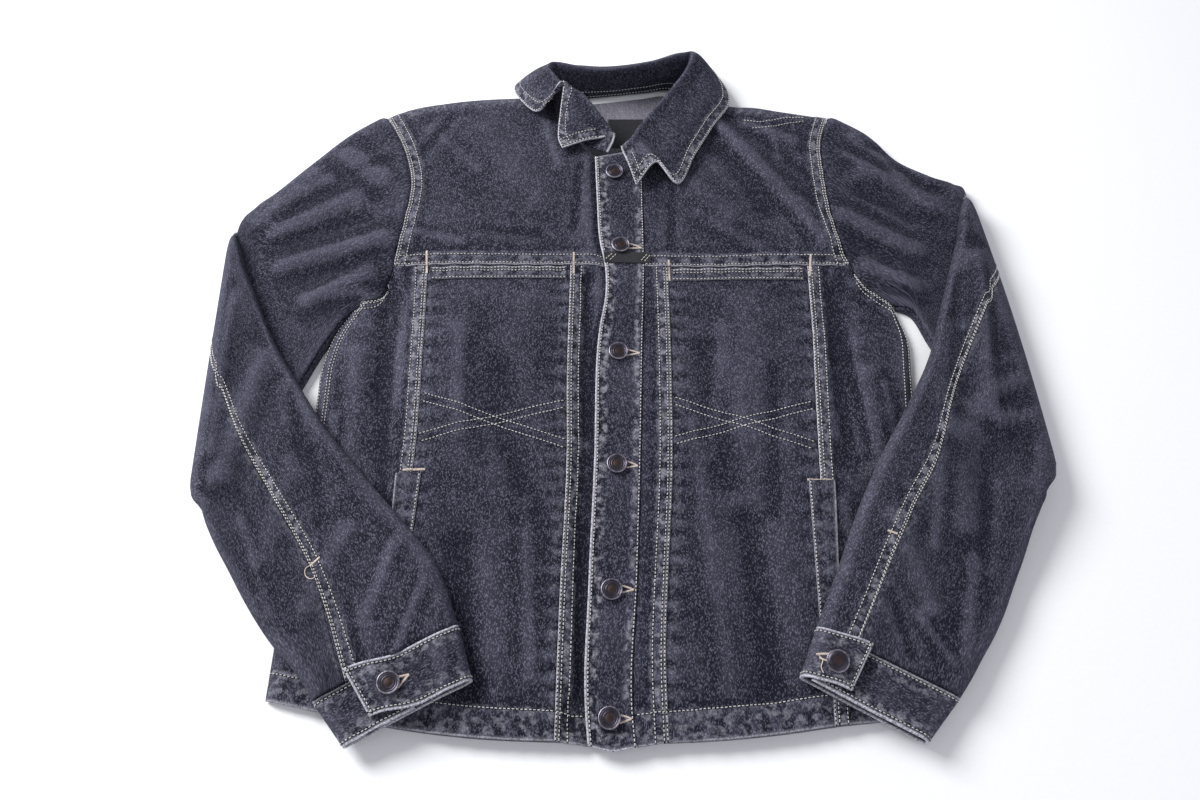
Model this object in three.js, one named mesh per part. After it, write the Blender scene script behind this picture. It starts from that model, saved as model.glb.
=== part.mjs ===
// A denim jacket laid flat on its back and buttoned, with both sleeves folded over onto the fronts.
// Millimetres, Z up. X runs from shoulder to shoulder and Y from the hem to the collar.
// "Left" and "right" are as seen from above, with the collar at the top.
import * as THREE from "three";

// Driving sizes of the cloth
const CLOTH = 1.5; // one layer of denim
const DOUBLE = 2.2; // folded denim: placket, cuffs and collar
const TRIM = 1.0; // pocket bands and welts
const RIBBON = 0.7; // neck label and placket tab
const SEAM_GAP = 0.4; // between two pieces at a seam
const LAY_GAP = 0.35; // between a piece and what lies on it

// How high the fronts lie over the back
const ROUND_HEIGHT = 9; // where a folded edge turns level
const ROUND_WIDTH = 12;
const CHEST_HEIGHT = 16.5; // middle of the fronts
const RISE_WIDTH = 110;
const HEM_SETTLE = 0.62; // share of that height left at the open hem
const HEM_REACH = 70;
const TUCK_DEPTH = 3.2; // the left front under the placket
const TUCK_WIDTH = 8;

// How the sleeves lie
const FOLD_RADIUS = 13; // outside of the fold at the elbow
const SLEEVE_LOFT = 11; // height of a flattened sleeve
const EDGE_LEVEL = 1.9; // from a sleeve's flat side to the middle of its folded edge
const SLEEVE_REST = 2.6; // clear of the front that it lies on
const UNDER_SEAM = 0.93; // place of the underarm seam across the sleeve
const UNDER_SEAM_GAP = 1.2; // wider, because the cloth turns tightly there

const BUTTON = { radius: 8.5, height: 3.4, rim: 0.9, segments: 18 };

const COLOURS = {
  denim: "#3e404b",
  denimWorn: "#474955",
  inside: "#8f8d98",
  ribbon: "#17171c",
  button: "#6a5a53",
};

function table(columns, rows) {
  const names = columns.split(" ");
  return rows.map((row) => Object.fromEntries(names.map((name, i) => [name, row[i]])));
}

// Edges and seams from above. Upright ones run from the hem upwards, level ones from left to right.
const LINE = {
  hem: [[-250, -256], [-212, -264], [-160, -275], [-97, -283], [-34, -286], [30, -287], [100, -284], [147, -279],
    [175, -275], [212, -271], [241, -266]],
  yoke: [[-190, 132], [-133, 132], [-60, 131], [0, 131], [63, 129], [117, 129], [165, 131], [229, 132]],
  leftSide: [[-250, -256], [-249, -190], [-245, -86], [-245, -2], [-245, 28], [-238, 62], [-221, 94]],
  rightSide: [[241, -266], [245, -233], [251, -179], [258, -112], [266, -49], [273, 23], [275, 59], [267, 90]],
  leftOuter: [[-164, -274], [-158, -160], [-153, -40], [-155, 46], [-158, 132]],
  rightOuter: [[171.5, -275], [176, -160], [180, -79], [184.5, 9], [188, 70], [189.5, 131]],
  leftInner: [[-33.5, -286], [-33, -266], [-30.5, -159], [-27.5, -67], [-28.5, 11], [-27, 131]],
  rightInner: [[50.5, -287], [49.5, -226], [53.5, -159], [59, -83], [62, 36], [62, 129]],
  placketEdge: [[-9, -289], [-11, -266], [-9, -168], [-5, -67], [-1, 60], [5, 103], [4, 133], [0, 155], [-3, 205],
    [-5, 259]],
  placketStitch: [[27, -290], [25, -266], [30, -160], [34, -67], [38, 50], [41, 132], [41, 200], [41, 268]],
  leftArmhole: [[-221, 94], [-197, 103], [-192, 119], [-188, 151], [-184, 180], [-181, 226], [-192, 269],
    [-215, 315]],
  rightArmhole: [[267, 90], [237, 116], [225, 147], [218, 187], [216, 239], [218, 276], [230, 311]],
  leftShoulder: [[-215, 316], [-200, 325], [-155, 335], [-105, 338], [-70, 342], [-46, 346]],
  rightShoulder: [[88, 353], [110, 340], [137, 331], [157, 330], [181, 324], [230, 312]],
  backNeck: [[-41, 340], [-37, 350], [-14, 353], [16, 357], [45, 361.5], [70, 365], [82, 358], [84, 347]],
  leftNeck: [[-4, 262], [-14, 272], [-28, 292], [-38, 308], [-44, 328], [-46, 346]],
  rightNeck: [[41, 268], [54, 284], [72, 308], [84, 332], [88, 353]],
};

// Folds in the fronts that show from a step away: from one end to the other, half width and height.
const BODY_FOLDS = table("x0 y0 x1 y1 width height", [
  [120, 300, 205, 165, 13, 5],
  [148, 305, 190, 285, 8, 3],
  [-12, 110, -12, -40, 9, -4.5],
  [-14, -60, -20, -270, 9, -5],
  [-190, 110, -186, 20, 14, -4],
  [-110, -150, -96, -235, 16, -4],
  [212, 100, 206, -60, 13, -4],
  [232, 20, 236, -110, 12, 3],
  [-214, 40, -208, -60, 12, 3],
  [120, -160, 128, -240, 18, -3],
  [60, 250, 120, 190, 16, 3],
  [-120, 300, -60, 210, 20, 3],
  [-70, 90, -75, -30, 22, 2.5],
  [125, 90, 120, -30, 22, 2.5],
]);

// Folds in the upper arms, fanning out from the armpits, and in the forearms that lie on them.
const UPPER_ARM_FOLDS = table("x0 y0 x1 y1 width height", [
  [-284, 136, -205, 165, 11, 4],
  [-258, 104, -212, 128, 9, 3.5],
  [-290, 175, -240, 215, 13, 3],
  [288, 160, 232, 190, 11, 3.5],
  [286, 118, 245, 135, 9, 3],
  [308, 214, 262, 246, 13, 3],
]);
const FOREARM_FOLDS = table("x0 y0 x1 y1 width height", [
  [-285, 10, -300, -70, 12, 3.5],
  [-250, -70, -262, -150, 11, 3],
  [-200, -130, -222, -190, 10, 2.5],
  [345, 110, 320, -20, 13, 4.5],
  [360, 10, 335, -6, 7, 3],
  [362, -18, 332, -34, 7, 3],
  [300, -40, 290, -120, 12, 3],
  [235, -120, 250, -190, 11, 3],
]);

// Sleeve sections from the armhole to the cuff. a is the edge along the top of the arm and b the
// edge under it, turn runs from 0 on the table to 1 once the forearm lies on top, za and zb are the
// heights the section turns about, and seam is the place of the back seam across it.
const SLEEVE_COLUMNS = "ax ay bx by za zb turn seam";
const LEFT_SLEEVE = table(SLEEVE_COLUMNS, [
  [-216, 315, -222, 94, 13, 13, 0, 0.5],
  [-246, 298, -241, 84, 13, 13, 0, 0.5],
  [-279, 270, -253, 52, 13, 13, 0, 0.5],
  [-314, 240, -269, 4, 13, 13, 0, 0.5],
  [-335, 210, -292, -46, 13, 13, 0, 0.51],
  [-337.5, 186, -320.5, -84, 13, 13, 0, 0.52],
  [-337, 182, -320, -88, 13, 13, 0.25, 0.53],
  [-336.5, 178, -320, -90, 13, 13, 0.5, 0.54],
  [-336.5, 174, -320, -92, 13, 13, 0.75, 0.54],
  [-336.5, 169, -320, -95, 13, 13, 1, 0.55],
  [-325, 128, -312, -114, 13.2, 12.8, 1, 0.55],
  [-309, 94, -301, -134, 13.6, 11.4, 1, 0.55],
  [-286, 50, -289, -156, 13.6, 8, 1, 0.54],
  [-258, 6, -274, -180, 13, 6, 1, 0.53],
  [-226, -40, -257, -203, 14, 9, 1, 0.55],
  [-192, -80, -243, -220, 15, 11, 1, 0.56],
  [-158, -118, -230, -234, 16, 11.5, 1, 0.62],
  [-127, -156, -219, -247, 16, 11, 1, 0.7],
  [-107, -203, -211, -259, 15, 10, 1, 0.77],
]);
const RIGHT_SLEEVE = table(SLEEVE_COLUMNS, [
  [231, 312, 269, 90, 13, 13, 0, 0.5],
  [262, 296, 284, 96, 13, 13, 0, 0.5],
  [292, 272, 296, 66, 13, 13, 0, 0.5],
  [320, 253, 310, 26, 13, 13, 0, 0.5],
  [341, 236, 334, -26, 13, 13, 0, 0.49],
  [346, 220, 362.5, -66, 13, 13, 0, 0.46],
  [345.5, 216, 363, -70, 13, 13, 0.25, 0.43],
  [345, 212, 363, -73.5, 13, 13, 0.5, 0.4],
  [345, 208, 363, -77, 13, 13, 0.75, 0.38],
  [344.5, 203, 362.5, -82, 13, 13, 1, 0.36],
  [332, 164, 356, -102, 13.2, 12.8, 1, 0.34],
  [318, 124, 346, -126, 13.6, 11.4, 1, 0.35],
  [303, 82, 334, -148, 13.6, 8, 1, 0.37],
  [286, 34, 320, -170, 13, 5, 1, 0.4],
  [260, -14, 308, -190, 14, 5, 1, 0.42],
  [231, -62, 296, -208, 15, 5, 1, 0.41],
  [205, -112, 285, -224, 16, 6, 1, 0.39],
  [183, -162, 274, -240, 16, 7, 1, 0.37],
  [163, -205, 263, -254, 15, 7, 1, 0.36],
]);

// Cuffs: far edge of each, the height it turns about, the height at the seam and at the mouth, and
// the places across it where the buttoned end stops and the end under it starts.
const CUFFS = table("name ax ay bx by za zb loft mouth tabEnd underStart", [
  ["left", -94, -244, -185, -291, 13, 9, 11, 13, 0.76, 0.44],
  ["right", 147, -242, 236, -286, 13, 7, 11, 17, 0.37, 0.08],
]);

// Collar from its left front end round the back of the neck to its right front end: the neck seam,
// the fold and the outer edge at each station. seat is 1 where the seam lies on a front and 0 where
// it lies on the back.
const COLLAR = table("bx by seat fx fy fz ex ey ez", [
  [6, 265, 1, 10, 285, 27, -37, 270, 23],
  [-13, 274, 1, -2, 304, 35, -44, 284, 23],
  [-27, 293, 1, -14, 319, 37, -43, 306, 27],
  [-34, 303, 1, -25, 328, 39, -39, 333, 44],
  [-40, 314, 1, -36, 336, 38, -54, 318, 27],
  [-45, 328, 1, -44, 346, 38, -66, 316, 19],
  [-43.5, 336, 1, -52, 358, 39, -87, 350, 13],
  [-36, 347, 0, -46, 362, 40, -76, 384, 7],
  [-14, 350, 0, -24, 359, 39, -34, 394, 4.5],
  [16, 354, 0, 4, 355, 38, 4, 392, 4.5],
  [45, 358, 0, 50, 363, 39, 52, 398, 4.5],
  [70, 361, 0.1, 82, 375, 40, 94, 408, 6],
  [80, 354, 0.15, 98, 378, 40, 128, 376, 9],
  [83, 337, 1, 86, 354, 39, 131, 336, 14],
  [78, 316, 1, 70, 330, 37, 112, 296, 20],
  [60, 290, 1, 52, 304, 35, 92, 256, 24],
  [47, 275, 1, 38, 286, 32, 73, 220, 24],
  [36, 266, 1, 30, 272, 31, 54, 238, 35],
  [24, 260, 1, 20, 262, 29, 34, 219, 24],
]);

const FRONT_BUTTONS = table("x y", [[14, 239], [19, 152], [16, 38], [14, -69], [9, -175], [7, -270]]);
const CUFF_BUTTONS = table("name x y across along", [
  ["left", -157, -253, 0.53, 0.42],
  ["right", 176, -234, 0.2, 0.5],
]);

// Small arithmetic
const clamp = (value, low, high) => Math.min(high, Math.max(low, value));
const mix = (a, b, t) => a + (b - a) * t;
const smooth = (t) => {
  const s = clamp(t, 0, 1);
  return s * s * (3 - 2 * s);
};
const quarter = (t) => {
  const s = 1 - clamp(t, 0, 1);
  return Math.sqrt(1 - s * s);
};

// A smooth line through points, by chord length, as a function of 0 to 1.
function smoothLine(points) {
  const at = [0];
  for (let i = 1; i < points.length; i++) {
    at.push(at[i - 1] + Math.hypot(...points[i].map((value, k) => value - points[i - 1][k])));
  }
  const last = points.length - 1;
  const slope = (i, k) => {
    const rate = (j) => (points[j + 1][k] - points[j][k]) / (at[j + 1] - at[j]);
    if (i === 0) return rate(0);
    if (i === last) return rate(last - 1);
    const before = at[i] - at[i - 1];
    const after = at[i + 1] - at[i];
    return (rate(i - 1) * after + rate(i) * before) / (before + after);
  };
  return (t) => {
    const s = clamp(t, 0, 1) * at[last];
    let i = 0;
    while (i < last - 1 && at[i + 1] < s) i++;
    const step = at[i + 1] - at[i];
    const f = (s - at[i]) / step;
    return points[i].map((value, k) => {
      const next = points[i + 1][k];
      const rise = 3 * (next - value) - step * (2 * slope(i, k) + slope(i + 1, k));
      const turn = step * (slope(i, k) + slope(i + 1, k)) - 2 * (next - value);
      return value + f * (step * slope(i, k) + f * (rise + f * turn));
    });
  };
}

const LINE_STEPS = 48;
const curve = Object.fromEntries(Object.entries(LINE).map(([name, points]) => [name, smoothLine(points)]));
const sampled = Object.fromEntries(
  Object.entries(curve).map(([name, line]) => [
    name,
    Array.from({ length: LINE_STEPS + 1 }, (_, i) => line(i / LINE_STEPS)),
  ]),
);

function distanceToSegment(x, y, [x0, y0], [x1, y1]) {
  const dx = x1 - x0;
  const dy = y1 - y0;
  const t = clamp(((x - x0) * dx + (y - y0) * dy) / (dx * dx + dy * dy), 0, 1);
  return Math.hypot(x - x0 - t * dx, y - y0 - t * dy);
}

function distanceToLine(x, y, points) {
  let best = Infinity;
  for (let i = 1; i < points.length; i++) {
    best = Math.min(best, distanceToSegment(x, y, points[i - 1], points[i]));
  }
  return best;
}

// Where an upright line stands at the height y, or a level line at x.
function across(points, known, value) {
  const wanted = 1 - known;
  const rising = points[points.length - 1][known] > points[0][known];
  const ordered = rising ? points : [...points].reverse();
  let i = 1;
  while (i < ordered.length - 1 && ordered[i][known] < value) i++;
  const low = ordered[i - 1];
  const high = ordered[i];
  const t = clamp((value - low[known]) / (high[known] - low[known] || 1), 0, 1);
  return mix(low[wanted], high[wanted], t);
}

function foldHeight(folds, x, y) {
  let sum = 0;
  for (const fold of folds) {
    const away = distanceToSegment(x, y, [fold.x0, fold.y0], [fold.x1, fold.y1]) / fold.width;
    sum += fold.height * Math.exp(-away * away);
  }
  return sum;
}

const foldedEdges = ["leftSide", "rightSide", "leftShoulder", "rightShoulder"];

// Height of the fronts' outer face, without their folds.
function smoothFront(x, y) {
  const inside = Math.min(...foldedEdges.map((name) => distanceToLine(x, y, sampled[name])));
  const rounded = ROUND_HEIGHT * quarter(inside / ROUND_WIDTH);
  const risen = (CHEST_HEIGHT - ROUND_HEIGHT) * smooth(inside / RISE_WIDTH);
  const aboveHem = y - across(sampled.hem, 0, x);
  return (rounded + risen) * mix(HEM_SETTLE, 1, smooth(aboveHem / HEM_REACH));
}

// Folds fade out at the folded edges, where the cloth turns under.
function frontHeight(x, y) {
  const inside = Math.min(...foldedEdges.map((name) => distanceToLine(x, y, sampled[name])));
  return smoothFront(x, y) + foldHeight(BODY_FOLDS, x, y) * smooth((inside - ROUND_WIDTH / 2) / ROUND_WIDTH);
}

// The left front dips where it runs under the placket.
function leftFrontHeight(x, y) {
  const past = x - across(sampled.placketEdge, 1, y) + TUCK_WIDTH;
  return frontHeight(x, y) - TUCK_DEPTH * smooth(past / TUCK_WIDTH);
}

// The placket bridges the trough beside its edge.
function placketHeight(x, y) {
  return smoothFront(x, y) + 0.6;
}

// Closed wall between two faces, each a grid of [x, y, z] points.
function wallBetween(outer, inner) {
  const columns = outer.length;
  const rows = outer[0].length;
  const positions = [];
  const triangle = (a, b, c) => positions.push(...a, ...b, ...c);
  const quad = (a, b, c, d) => {
    triangle(a, b, c);
    triangle(a, c, d);
  };
  for (let i = 0; i < columns - 1; i++) {
    for (let j = 0; j < rows - 1; j++) {
      quad(outer[i][j], outer[i + 1][j], outer[i + 1][j + 1], outer[i][j + 1]);
      quad(inner[i][j], inner[i][j + 1], inner[i + 1][j + 1], inner[i + 1][j]);
    }
    quad(inner[i][0], inner[i + 1][0], outer[i + 1][0], outer[i][0]);
    quad(outer[i][rows - 1], outer[i + 1][rows - 1], inner[i + 1][rows - 1], inner[i][rows - 1]);
  }
  for (let j = 0; j < rows - 1; j++) {
    quad(outer[0][j], outer[0][j + 1], inner[0][j + 1], inner[0][j]);
    quad(inner[columns - 1][j], inner[columns - 1][j + 1], outer[columns - 1][j + 1], outer[columns - 1][j]);
  }
  let volume = 0;
  for (let i = 0; i < positions.length; i += 9) {
    const [ax, ay, az, bx, by, bz, cx, cy, cz] = positions.slice(i, i + 9);
    volume += ax * (by * cz - bz * cy) + ay * (bz * cx - bx * cz) + az * (bx * cy - by * cx);
  }
  if (volume < 0) {
    for (let i = 0; i < positions.length; i += 9) {
      const second = positions.slice(i + 3, i + 6);
      positions.splice(i + 3, 6, ...positions.slice(i + 6, i + 9), ...second);
    }
  }
  const geometry = new THREE.BufferGeometry();
  geometry.setAttribute("position", new THREE.Float32BufferAttribute(positions, 3));
  geometry.computeVertexNormals();
  return geometry;
}

// The face a wall's thickness inside a grid of points, never below the table. Nearly level seams
// are cut straight down, so that two pieces keep their gap.
const NEARLY_LEVEL = 0.75;

function offsetFace(grid, thickness) {
  const point = (i, j) => new THREE.Vector3(...grid[clamp(i, 0, grid.length - 1)][clamp(j, 0, grid[0].length - 1)]);
  return grid.map((column, i) =>
    column.map((_, j) => {
      const alongU = point(i + 1, j).sub(point(i - 1, j));
      const alongV = point(i, j + 1).sub(point(i, j - 1));
      const normal = alongU.cross(alongV).normalize();
      const onSeam = i === 0 || j === 0 || i === grid.length - 1 || j === grid[0].length - 1;
      if (onSeam && Math.abs(normal.z) > NEARLY_LEVEL) normal.set(0, 0, Math.sign(normal.z));
      const moved = point(i, j).addScaledVector(normal, -thickness);
      return [moved.x, moved.y, Math.max(0, moved.z)];
    }),
  );
}

const even = (count) => Array.from({ length: count + 1 }, (_, i) => i / count);

// The same line with its ends moved to two given points.
function endedAt(line, start, end) {
  const first = line(0);
  const last = line(1);
  return (t) => line(t).map((value, k) => value + (1 - t) * (start[k] - first[k]) + t * (end[k] - last[k]));
}

// Plan of a panel between four lines, drawn in at its seams.
function planGrid({ left, right, bottom: lower, top: upper }, us, vs) {
  const bottom = endedAt(lower, left(0), right(0));
  const top = endedAt(upper, left(1), right(1));
  const corners = [bottom(0), bottom(1), top(0), top(1)];
  const grid = us.map((u) =>
    vs.map((v) =>
      [0, 1].map(
        (k) =>
          mix(bottom(u)[k], top(u)[k], v) +
          mix(left(v)[k], right(v)[k], u) -
          mix(mix(corners[0][k], corners[1][k], u), mix(corners[2][k], corners[3][k], u), v),
      ),
    ),
  );
  const drawIn = (i, j, ni, nj) => {
    const [x, y] = grid[i][j];
    const [nx, ny] = grid[ni][nj];
    const length = Math.hypot(nx - x, ny - y);
    grid[i][j] = [x + ((nx - x) * SEAM_GAP) / 2 / length, y + ((ny - y) * SEAM_GAP) / 2 / length];
  };
  const m = us.length - 1;
  const n = vs.length - 1;
  for (let j = 0; j <= n; j++) {
    drawIn(0, j, 1, j);
    drawIn(m, j, m - 1, j);
  }
  for (let i = 0; i <= m; i++) {
    drawIn(i, 0, i, 1);
    drawIn(i, n, i, n - 1);
  }
  return grid;
}

function panel(sides, us, vs, height, thickness) {
  const outer = planGrid(sides, us, vs).map((column) => column.map(([x, y]) => [x, y, height(x, y)]));
  return wallBetween(outer, offsetFace(outer, thickness));
}

// A strip sewn flat onto a panel: the panel's own face, moved out.
function appliedStrip(corners, height, us, vs, thickness) {
  const [bottomLeft, bottomRight, topRight, topLeft] = corners;
  const sides = {
    left: smoothLine([bottomLeft, topLeft]),
    right: smoothLine([bottomRight, topRight]),
    bottom: smoothLine([bottomLeft, bottomRight]),
    top: smoothLine([topLeft, topRight]),
  };
  const plan = planGrid(sides, us, vs);
  const face = (lift) => plan.map((column) => column.map(([x, y]) => [x, y, height(x, y) + lift]));
  return wallBetween(face(LAY_GAP + thickness), face(LAY_GAP));
}

// Place along an upright line where it reaches the height y.
function placeAt(line, y) {
  let low = 0;
  let high = 1;
  for (let i = 0; i < 30; i++) {
    const halfway = (low + high) / 2;
    if (line(halfway)[1] < y) low = halfway;
    else high = halfway;
  }
  return (low + high) / 2;
}

// Part of an upright line between two heights, as a line of its own.
function stretch(name, from, to) {
  const line = curve[name];
  const start = placeAt(line, from);
  const end = placeAt(line, to);
  return (t) => line(mix(start, end, t));
}

// Where an upright line meets the chest seam.
function yokeCrossing(name) {
  let y = LINE.yoke[0][1];
  for (let i = 0; i < 8; i++) y = across(sampled.yoke, 0, curve[name](placeAt(curve[name], y))[0]);
  return y;
}

// Part of a level line between two values of x.
function span(name, from, to) {
  return (t) => {
    const x = mix(from, to, t);
    return [x, across(sampled[name], 0, x)];
  };
}

function joined(...parts) {
  const points = parts.flatMap((part) => even(14).map((t) => part(t)));
  const distinct = points.filter((p, i) => !i || Math.hypot(p[0] - points[i - 1][0], p[1] - points[i - 1][1]) > 0.5);
  return smoothLine(distinct);
}

const shifted = (line, dx, dy = 0) => (t) => {
  const [x, y] = line(t);
  return [x + dx, y + dy];
};

const materials = Object.fromEntries(
  Object.entries(COLOURS).map(([name, color]) => [
    name,
    new THREE.MeshStandardMaterial({
      color,
      name,
      roughness: name === "button" ? 0.4 : 0.95,
      metalness: name === "button" ? 0.9 : 0,
    }),
  ]),
);
const jacket = new THREE.Group();

function add(name, geometry, material = materials.denim) {
  const mesh = new THREE.Mesh(geometry, material);
  mesh.name = name;
  jacket.add(mesh);
  return mesh;
}

// The back lies on the table in two pieces, drawn in from the fronts' folded edges.
const BACK_INSET = 3.6;
const BACK_YOKE_SEAM = 214;

function slab(outline) {
  const shape = new THREE.Shape(outline.map(([x, y]) => new THREE.Vector2(x, y)));
  return new THREE.ExtrudeGeometry(shape, { depth: CLOTH, bevelEnabled: false });
}

// The points of an outline that stand more than a step apart.
function spaced(points, step) {
  return points.filter((p, i) => {
    const next = points[(i + 1) % points.length];
    return Math.hypot(p[0] - next[0], p[1] - next[1]) > step;
  });
}

function insetOutline(points, inset) {
  const clean = spaced(points, 2.5 * inset);
  return clean.map(([x, y], i) => {
    const [px, py] = clean[(i + clean.length - 1) % clean.length];
    const [nx, ny] = clean[(i + 1) % clean.length];
    const length = Math.hypot(nx - px, ny - py);
    return [x - ((ny - py) / length) * inset, y + ((nx - px) / length) * inset];
  });
}

const along = (line, count) => even(count).map((t) => line(t));

const backOutline = [
  ...along(curve.hem, 12),
  ...along(curve.rightSide, 10),
  ...along(stretch("rightArmhole", 92, BACK_YOKE_SEAM + BACK_INSET - SEAM_GAP), 7),
  ...along(stretch("leftArmhole", BACK_YOKE_SEAM + BACK_INSET - SEAM_GAP, 95), 7),
  ...along(curve.leftSide, 10).reverse(),
];
add("back_panel", slab(insetOutline(backOutline, BACK_INSET)));

const yokeOutline = [
  ...along(shifted(stretch("leftArmhole", BACK_YOKE_SEAM, 309), BACK_INSET), 5).reverse(),
  ...along(shifted(stretch("rightArmhole", BACK_YOKE_SEAM, 305), -BACK_INSET), 5),
  ...along(shifted(curve.rightShoulder, 0, -1.3 * BACK_INSET), 12).reverse().slice(1),
  ...along(curve.backNeck, 9).reverse(),
  ...along(shifted(curve.leftShoulder, 0, -1.3 * BACK_INSET), 12).reverse().slice(0, -1),
];
add("back_yoke", slab(spaced(yokeOutline, BACK_INSET)), materials.inside);

const upToYoke = (name) => stretch(name, LINE[name][0][1], yokeCrossing(name));
const yokeX = (name) => curve[name](placeAt(curve[name], yokeCrossing(name)))[0];

// Fronts below the yoke: a side piece, a pocket piece and a strip on each side.
const UPRIGHT = even(16);
const SIDE_STEPS = [0, 0.25, 0.5, 0.72, 0.87, 0.95, 0.985, 1];
const UNDER_PLACKET = 4;

add(
  "side_front_left",
  panel(
    {
      left: curve.leftSide,
      right: upToYoke("leftOuter"),
      bottom: span("hem", -250, LINE.leftOuter[0][0]),
      top: joined(
        stretch("leftArmhole", 94, yokeCrossing("leftArmhole")),
        span("yoke", yokeX("leftArmhole"), yokeX("leftOuter")),
      ),
    },
    SIDE_STEPS.map((u) => 1 - u).reverse(),
    UPRIGHT,
    leftFrontHeight,
    CLOTH,
  ),
);
add(
  "side_front_right",
  panel(
    {
      left: upToYoke("rightOuter"),
      right: curve.rightSide,
      bottom: span("hem", LINE.rightOuter[0][0], 241),
      top: joined(
        span("yoke", yokeX("rightOuter"), yokeX("rightArmhole")),
        stretch("rightArmhole", yokeCrossing("rightArmhole"), 90),
      ),
    },
    SIDE_STEPS,
    UPRIGHT,
    frontHeight,
    CLOTH,
  ),
);
add(
  "pocket_front_left",
  panel(
    {
      left: upToYoke("leftOuter"),
      right: upToYoke("leftInner"),
      bottom: span("hem", LINE.leftOuter[0][0], LINE.leftInner[0][0]),
      top: span("yoke", yokeX("leftOuter"), yokeX("leftInner")),
    },
    even(7),
    even(18),
    leftFrontHeight,
    CLOTH,
  ),
);
add(
  "pocket_front_right",
  panel(
    {
      left: upToYoke("rightInner"),
      right: upToYoke("rightOuter"),
      bottom: span("hem", LINE.rightInner[0][0], LINE.rightOuter[0][0]),
      top: span("yoke", yokeX("rightInner"), yokeX("rightOuter")),
    },
    even(7),
    even(18),
    frontHeight,
    CLOTH,
  ),
);
const leftStripEdge = shifted(upToYoke("placketEdge"), UNDER_PLACKET);
add(
  "front_strip_left",
  panel(
    {
      left: upToYoke("leftInner"),
      right: leftStripEdge,
      bottom: smoothLine([curve.leftInner(0), leftStripEdge(0)]),
      top: span("yoke", yokeX("leftInner"), leftStripEdge(1)[0]),
    },
    even(3),
    even(18),
    leftFrontHeight,
    CLOTH,
  ),
);
const stitchBelow = upToYoke("placketStitch");
add(
  "front_strip_right",
  panel(
    {
      left: stitchBelow,
      right: upToYoke("rightInner"),
      bottom: smoothLine([stitchBelow(0), curve.rightInner(0)]),
      top: span("yoke", yokeX("placketStitch"), yokeX("rightInner")),
    },
    even(2),
    even(16),
    frontHeight,
    CLOTH,
  ),
);

// Front yokes, from the chest seam to the shoulder and the neck
const leftYokeFront = joined(
  shifted(stretch("placketEdge", yokeCrossing("placketEdge"), 252), UNDER_PLACKET),
  curve.leftNeck,
);
add(
  "front_yoke_left",
  panel(
    {
      left: stretch("leftArmhole", yokeCrossing("leftArmhole"), 315),
      right: leftYokeFront,
      bottom: span("yoke", yokeX("leftArmhole"), leftYokeFront(0)[0]),
      top: curve.leftShoulder,
    },
    even(10),
    [0, 0.12, 0.26, 0.4, 0.54, 0.67, 0.78, 0.88, 0.95, 0.985, 1],
    leftFrontHeight,
    CLOTH,
  ),
);
const rightYokeFront = joined(stretch("placketStitch", yokeCrossing("placketStitch"), 268), curve.rightNeck);
add(
  "front_yoke_right",
  panel(
    {
      left: rightYokeFront,
      right: stretch("rightArmhole", yokeCrossing("rightArmhole"), 311),
      bottom: span("yoke", rightYokeFront(0)[0], yokeX("rightArmhole")),
      top: curve.rightShoulder,
    },
    even(10),
    [0, 0.12, 0.26, 0.4, 0.54, 0.67, 0.78, 0.88, 0.95, 0.985, 1],
    frontHeight,
    CLOTH,
  ),
);

// The buttoned edges: the stand that carries the buttons, and the placket over it
const STAND_WIDTH = 31;
const standLeft = shifted(stretch("placketEdge", -287, 256), UNDER_PLACKET + SEAM_GAP);
const standRight = shifted(standLeft, STAND_WIDTH);
add(
  "button_stand",
  panel(
    {
      left: standLeft,
      right: standRight,
      bottom: smoothLine([standLeft(0), standRight(0)]),
      top: smoothLine([standLeft(1), standRight(1)]),
    },
    even(2),
    even(18),
    (x, y) => placketHeight(x, y) - DOUBLE - 1.4,
    CLOTH,
  ),
);
add(
  "placket",
  panel(
    {
      left: curve.placketEdge,
      right: curve.placketStitch,
      bottom: smoothLine([[-9, -289], [8, -293], [27, -290]]),
      top: smoothLine([[-5, 259], [6, 262], [41, 268]]),
    },
    even(3),
    even(22),
    placketHeight,
    DOUBLE,
  ),
  materials.denimWorn,
);

// Pocket bands along the chest pockets' mouths and welts at the hand pockets
const BAND_LOW = 116;
const BAND_HIGH = 129;
add(
  "pocket_band_left",
  appliedStrip(
    [[-154, BAND_LOW], [-30, BAND_LOW], [-30, BAND_HIGH], [-155, BAND_HIGH]],
    leftFrontHeight,
    even(8),
    even(1),
    TRIM,
  ),
);
add(
  "pocket_band_right",
  appliedStrip(
    [[65, BAND_LOW - 3], [185, BAND_LOW - 1], [186, BAND_HIGH - 1.5], [65, BAND_HIGH - 3]],
    frontHeight,
    even(8),
    even(1),
    TRIM,
  ),
);
add(
  "hand_welt_left",
  appliedStrip([[-168, -200], [-152, -200], [-146, -75], [-168, -75]], leftFrontHeight, even(2), even(8), TRIM),
);
add(
  "hand_welt_right",
  appliedStrip([[167, -200], [184, -200], [192, -82], [170, -82]], frontHeight, even(2), even(8), TRIM),
);
add(
  "placket_tab",
  appliedStrip([[4, 133], [47, 132], [47, 144], [3, 145]], placketHeight, even(4), even(1), RIBBON),
  materials.ribbon,
);
add(
  "neck_label",
  appliedStrip([[8, 284], [58, 286], [58, 322], [8, 322]], () => CLOTH, even(1), even(1), RIBBON),
  materials.ribbon,
);

// Sleeves: a flattened tube that lies on the table from the armhole, turns up round the fold and
// comes back over itself onto the front.
const ACROSS_OUTER = [0, 0.02, 0.08, 0.28, 0.5, 0.72, 0.92, 0.98, 1];
const ACROSS_INNER = [0.02, 0.08, 0.28, 0.5, 0.72];

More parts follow.
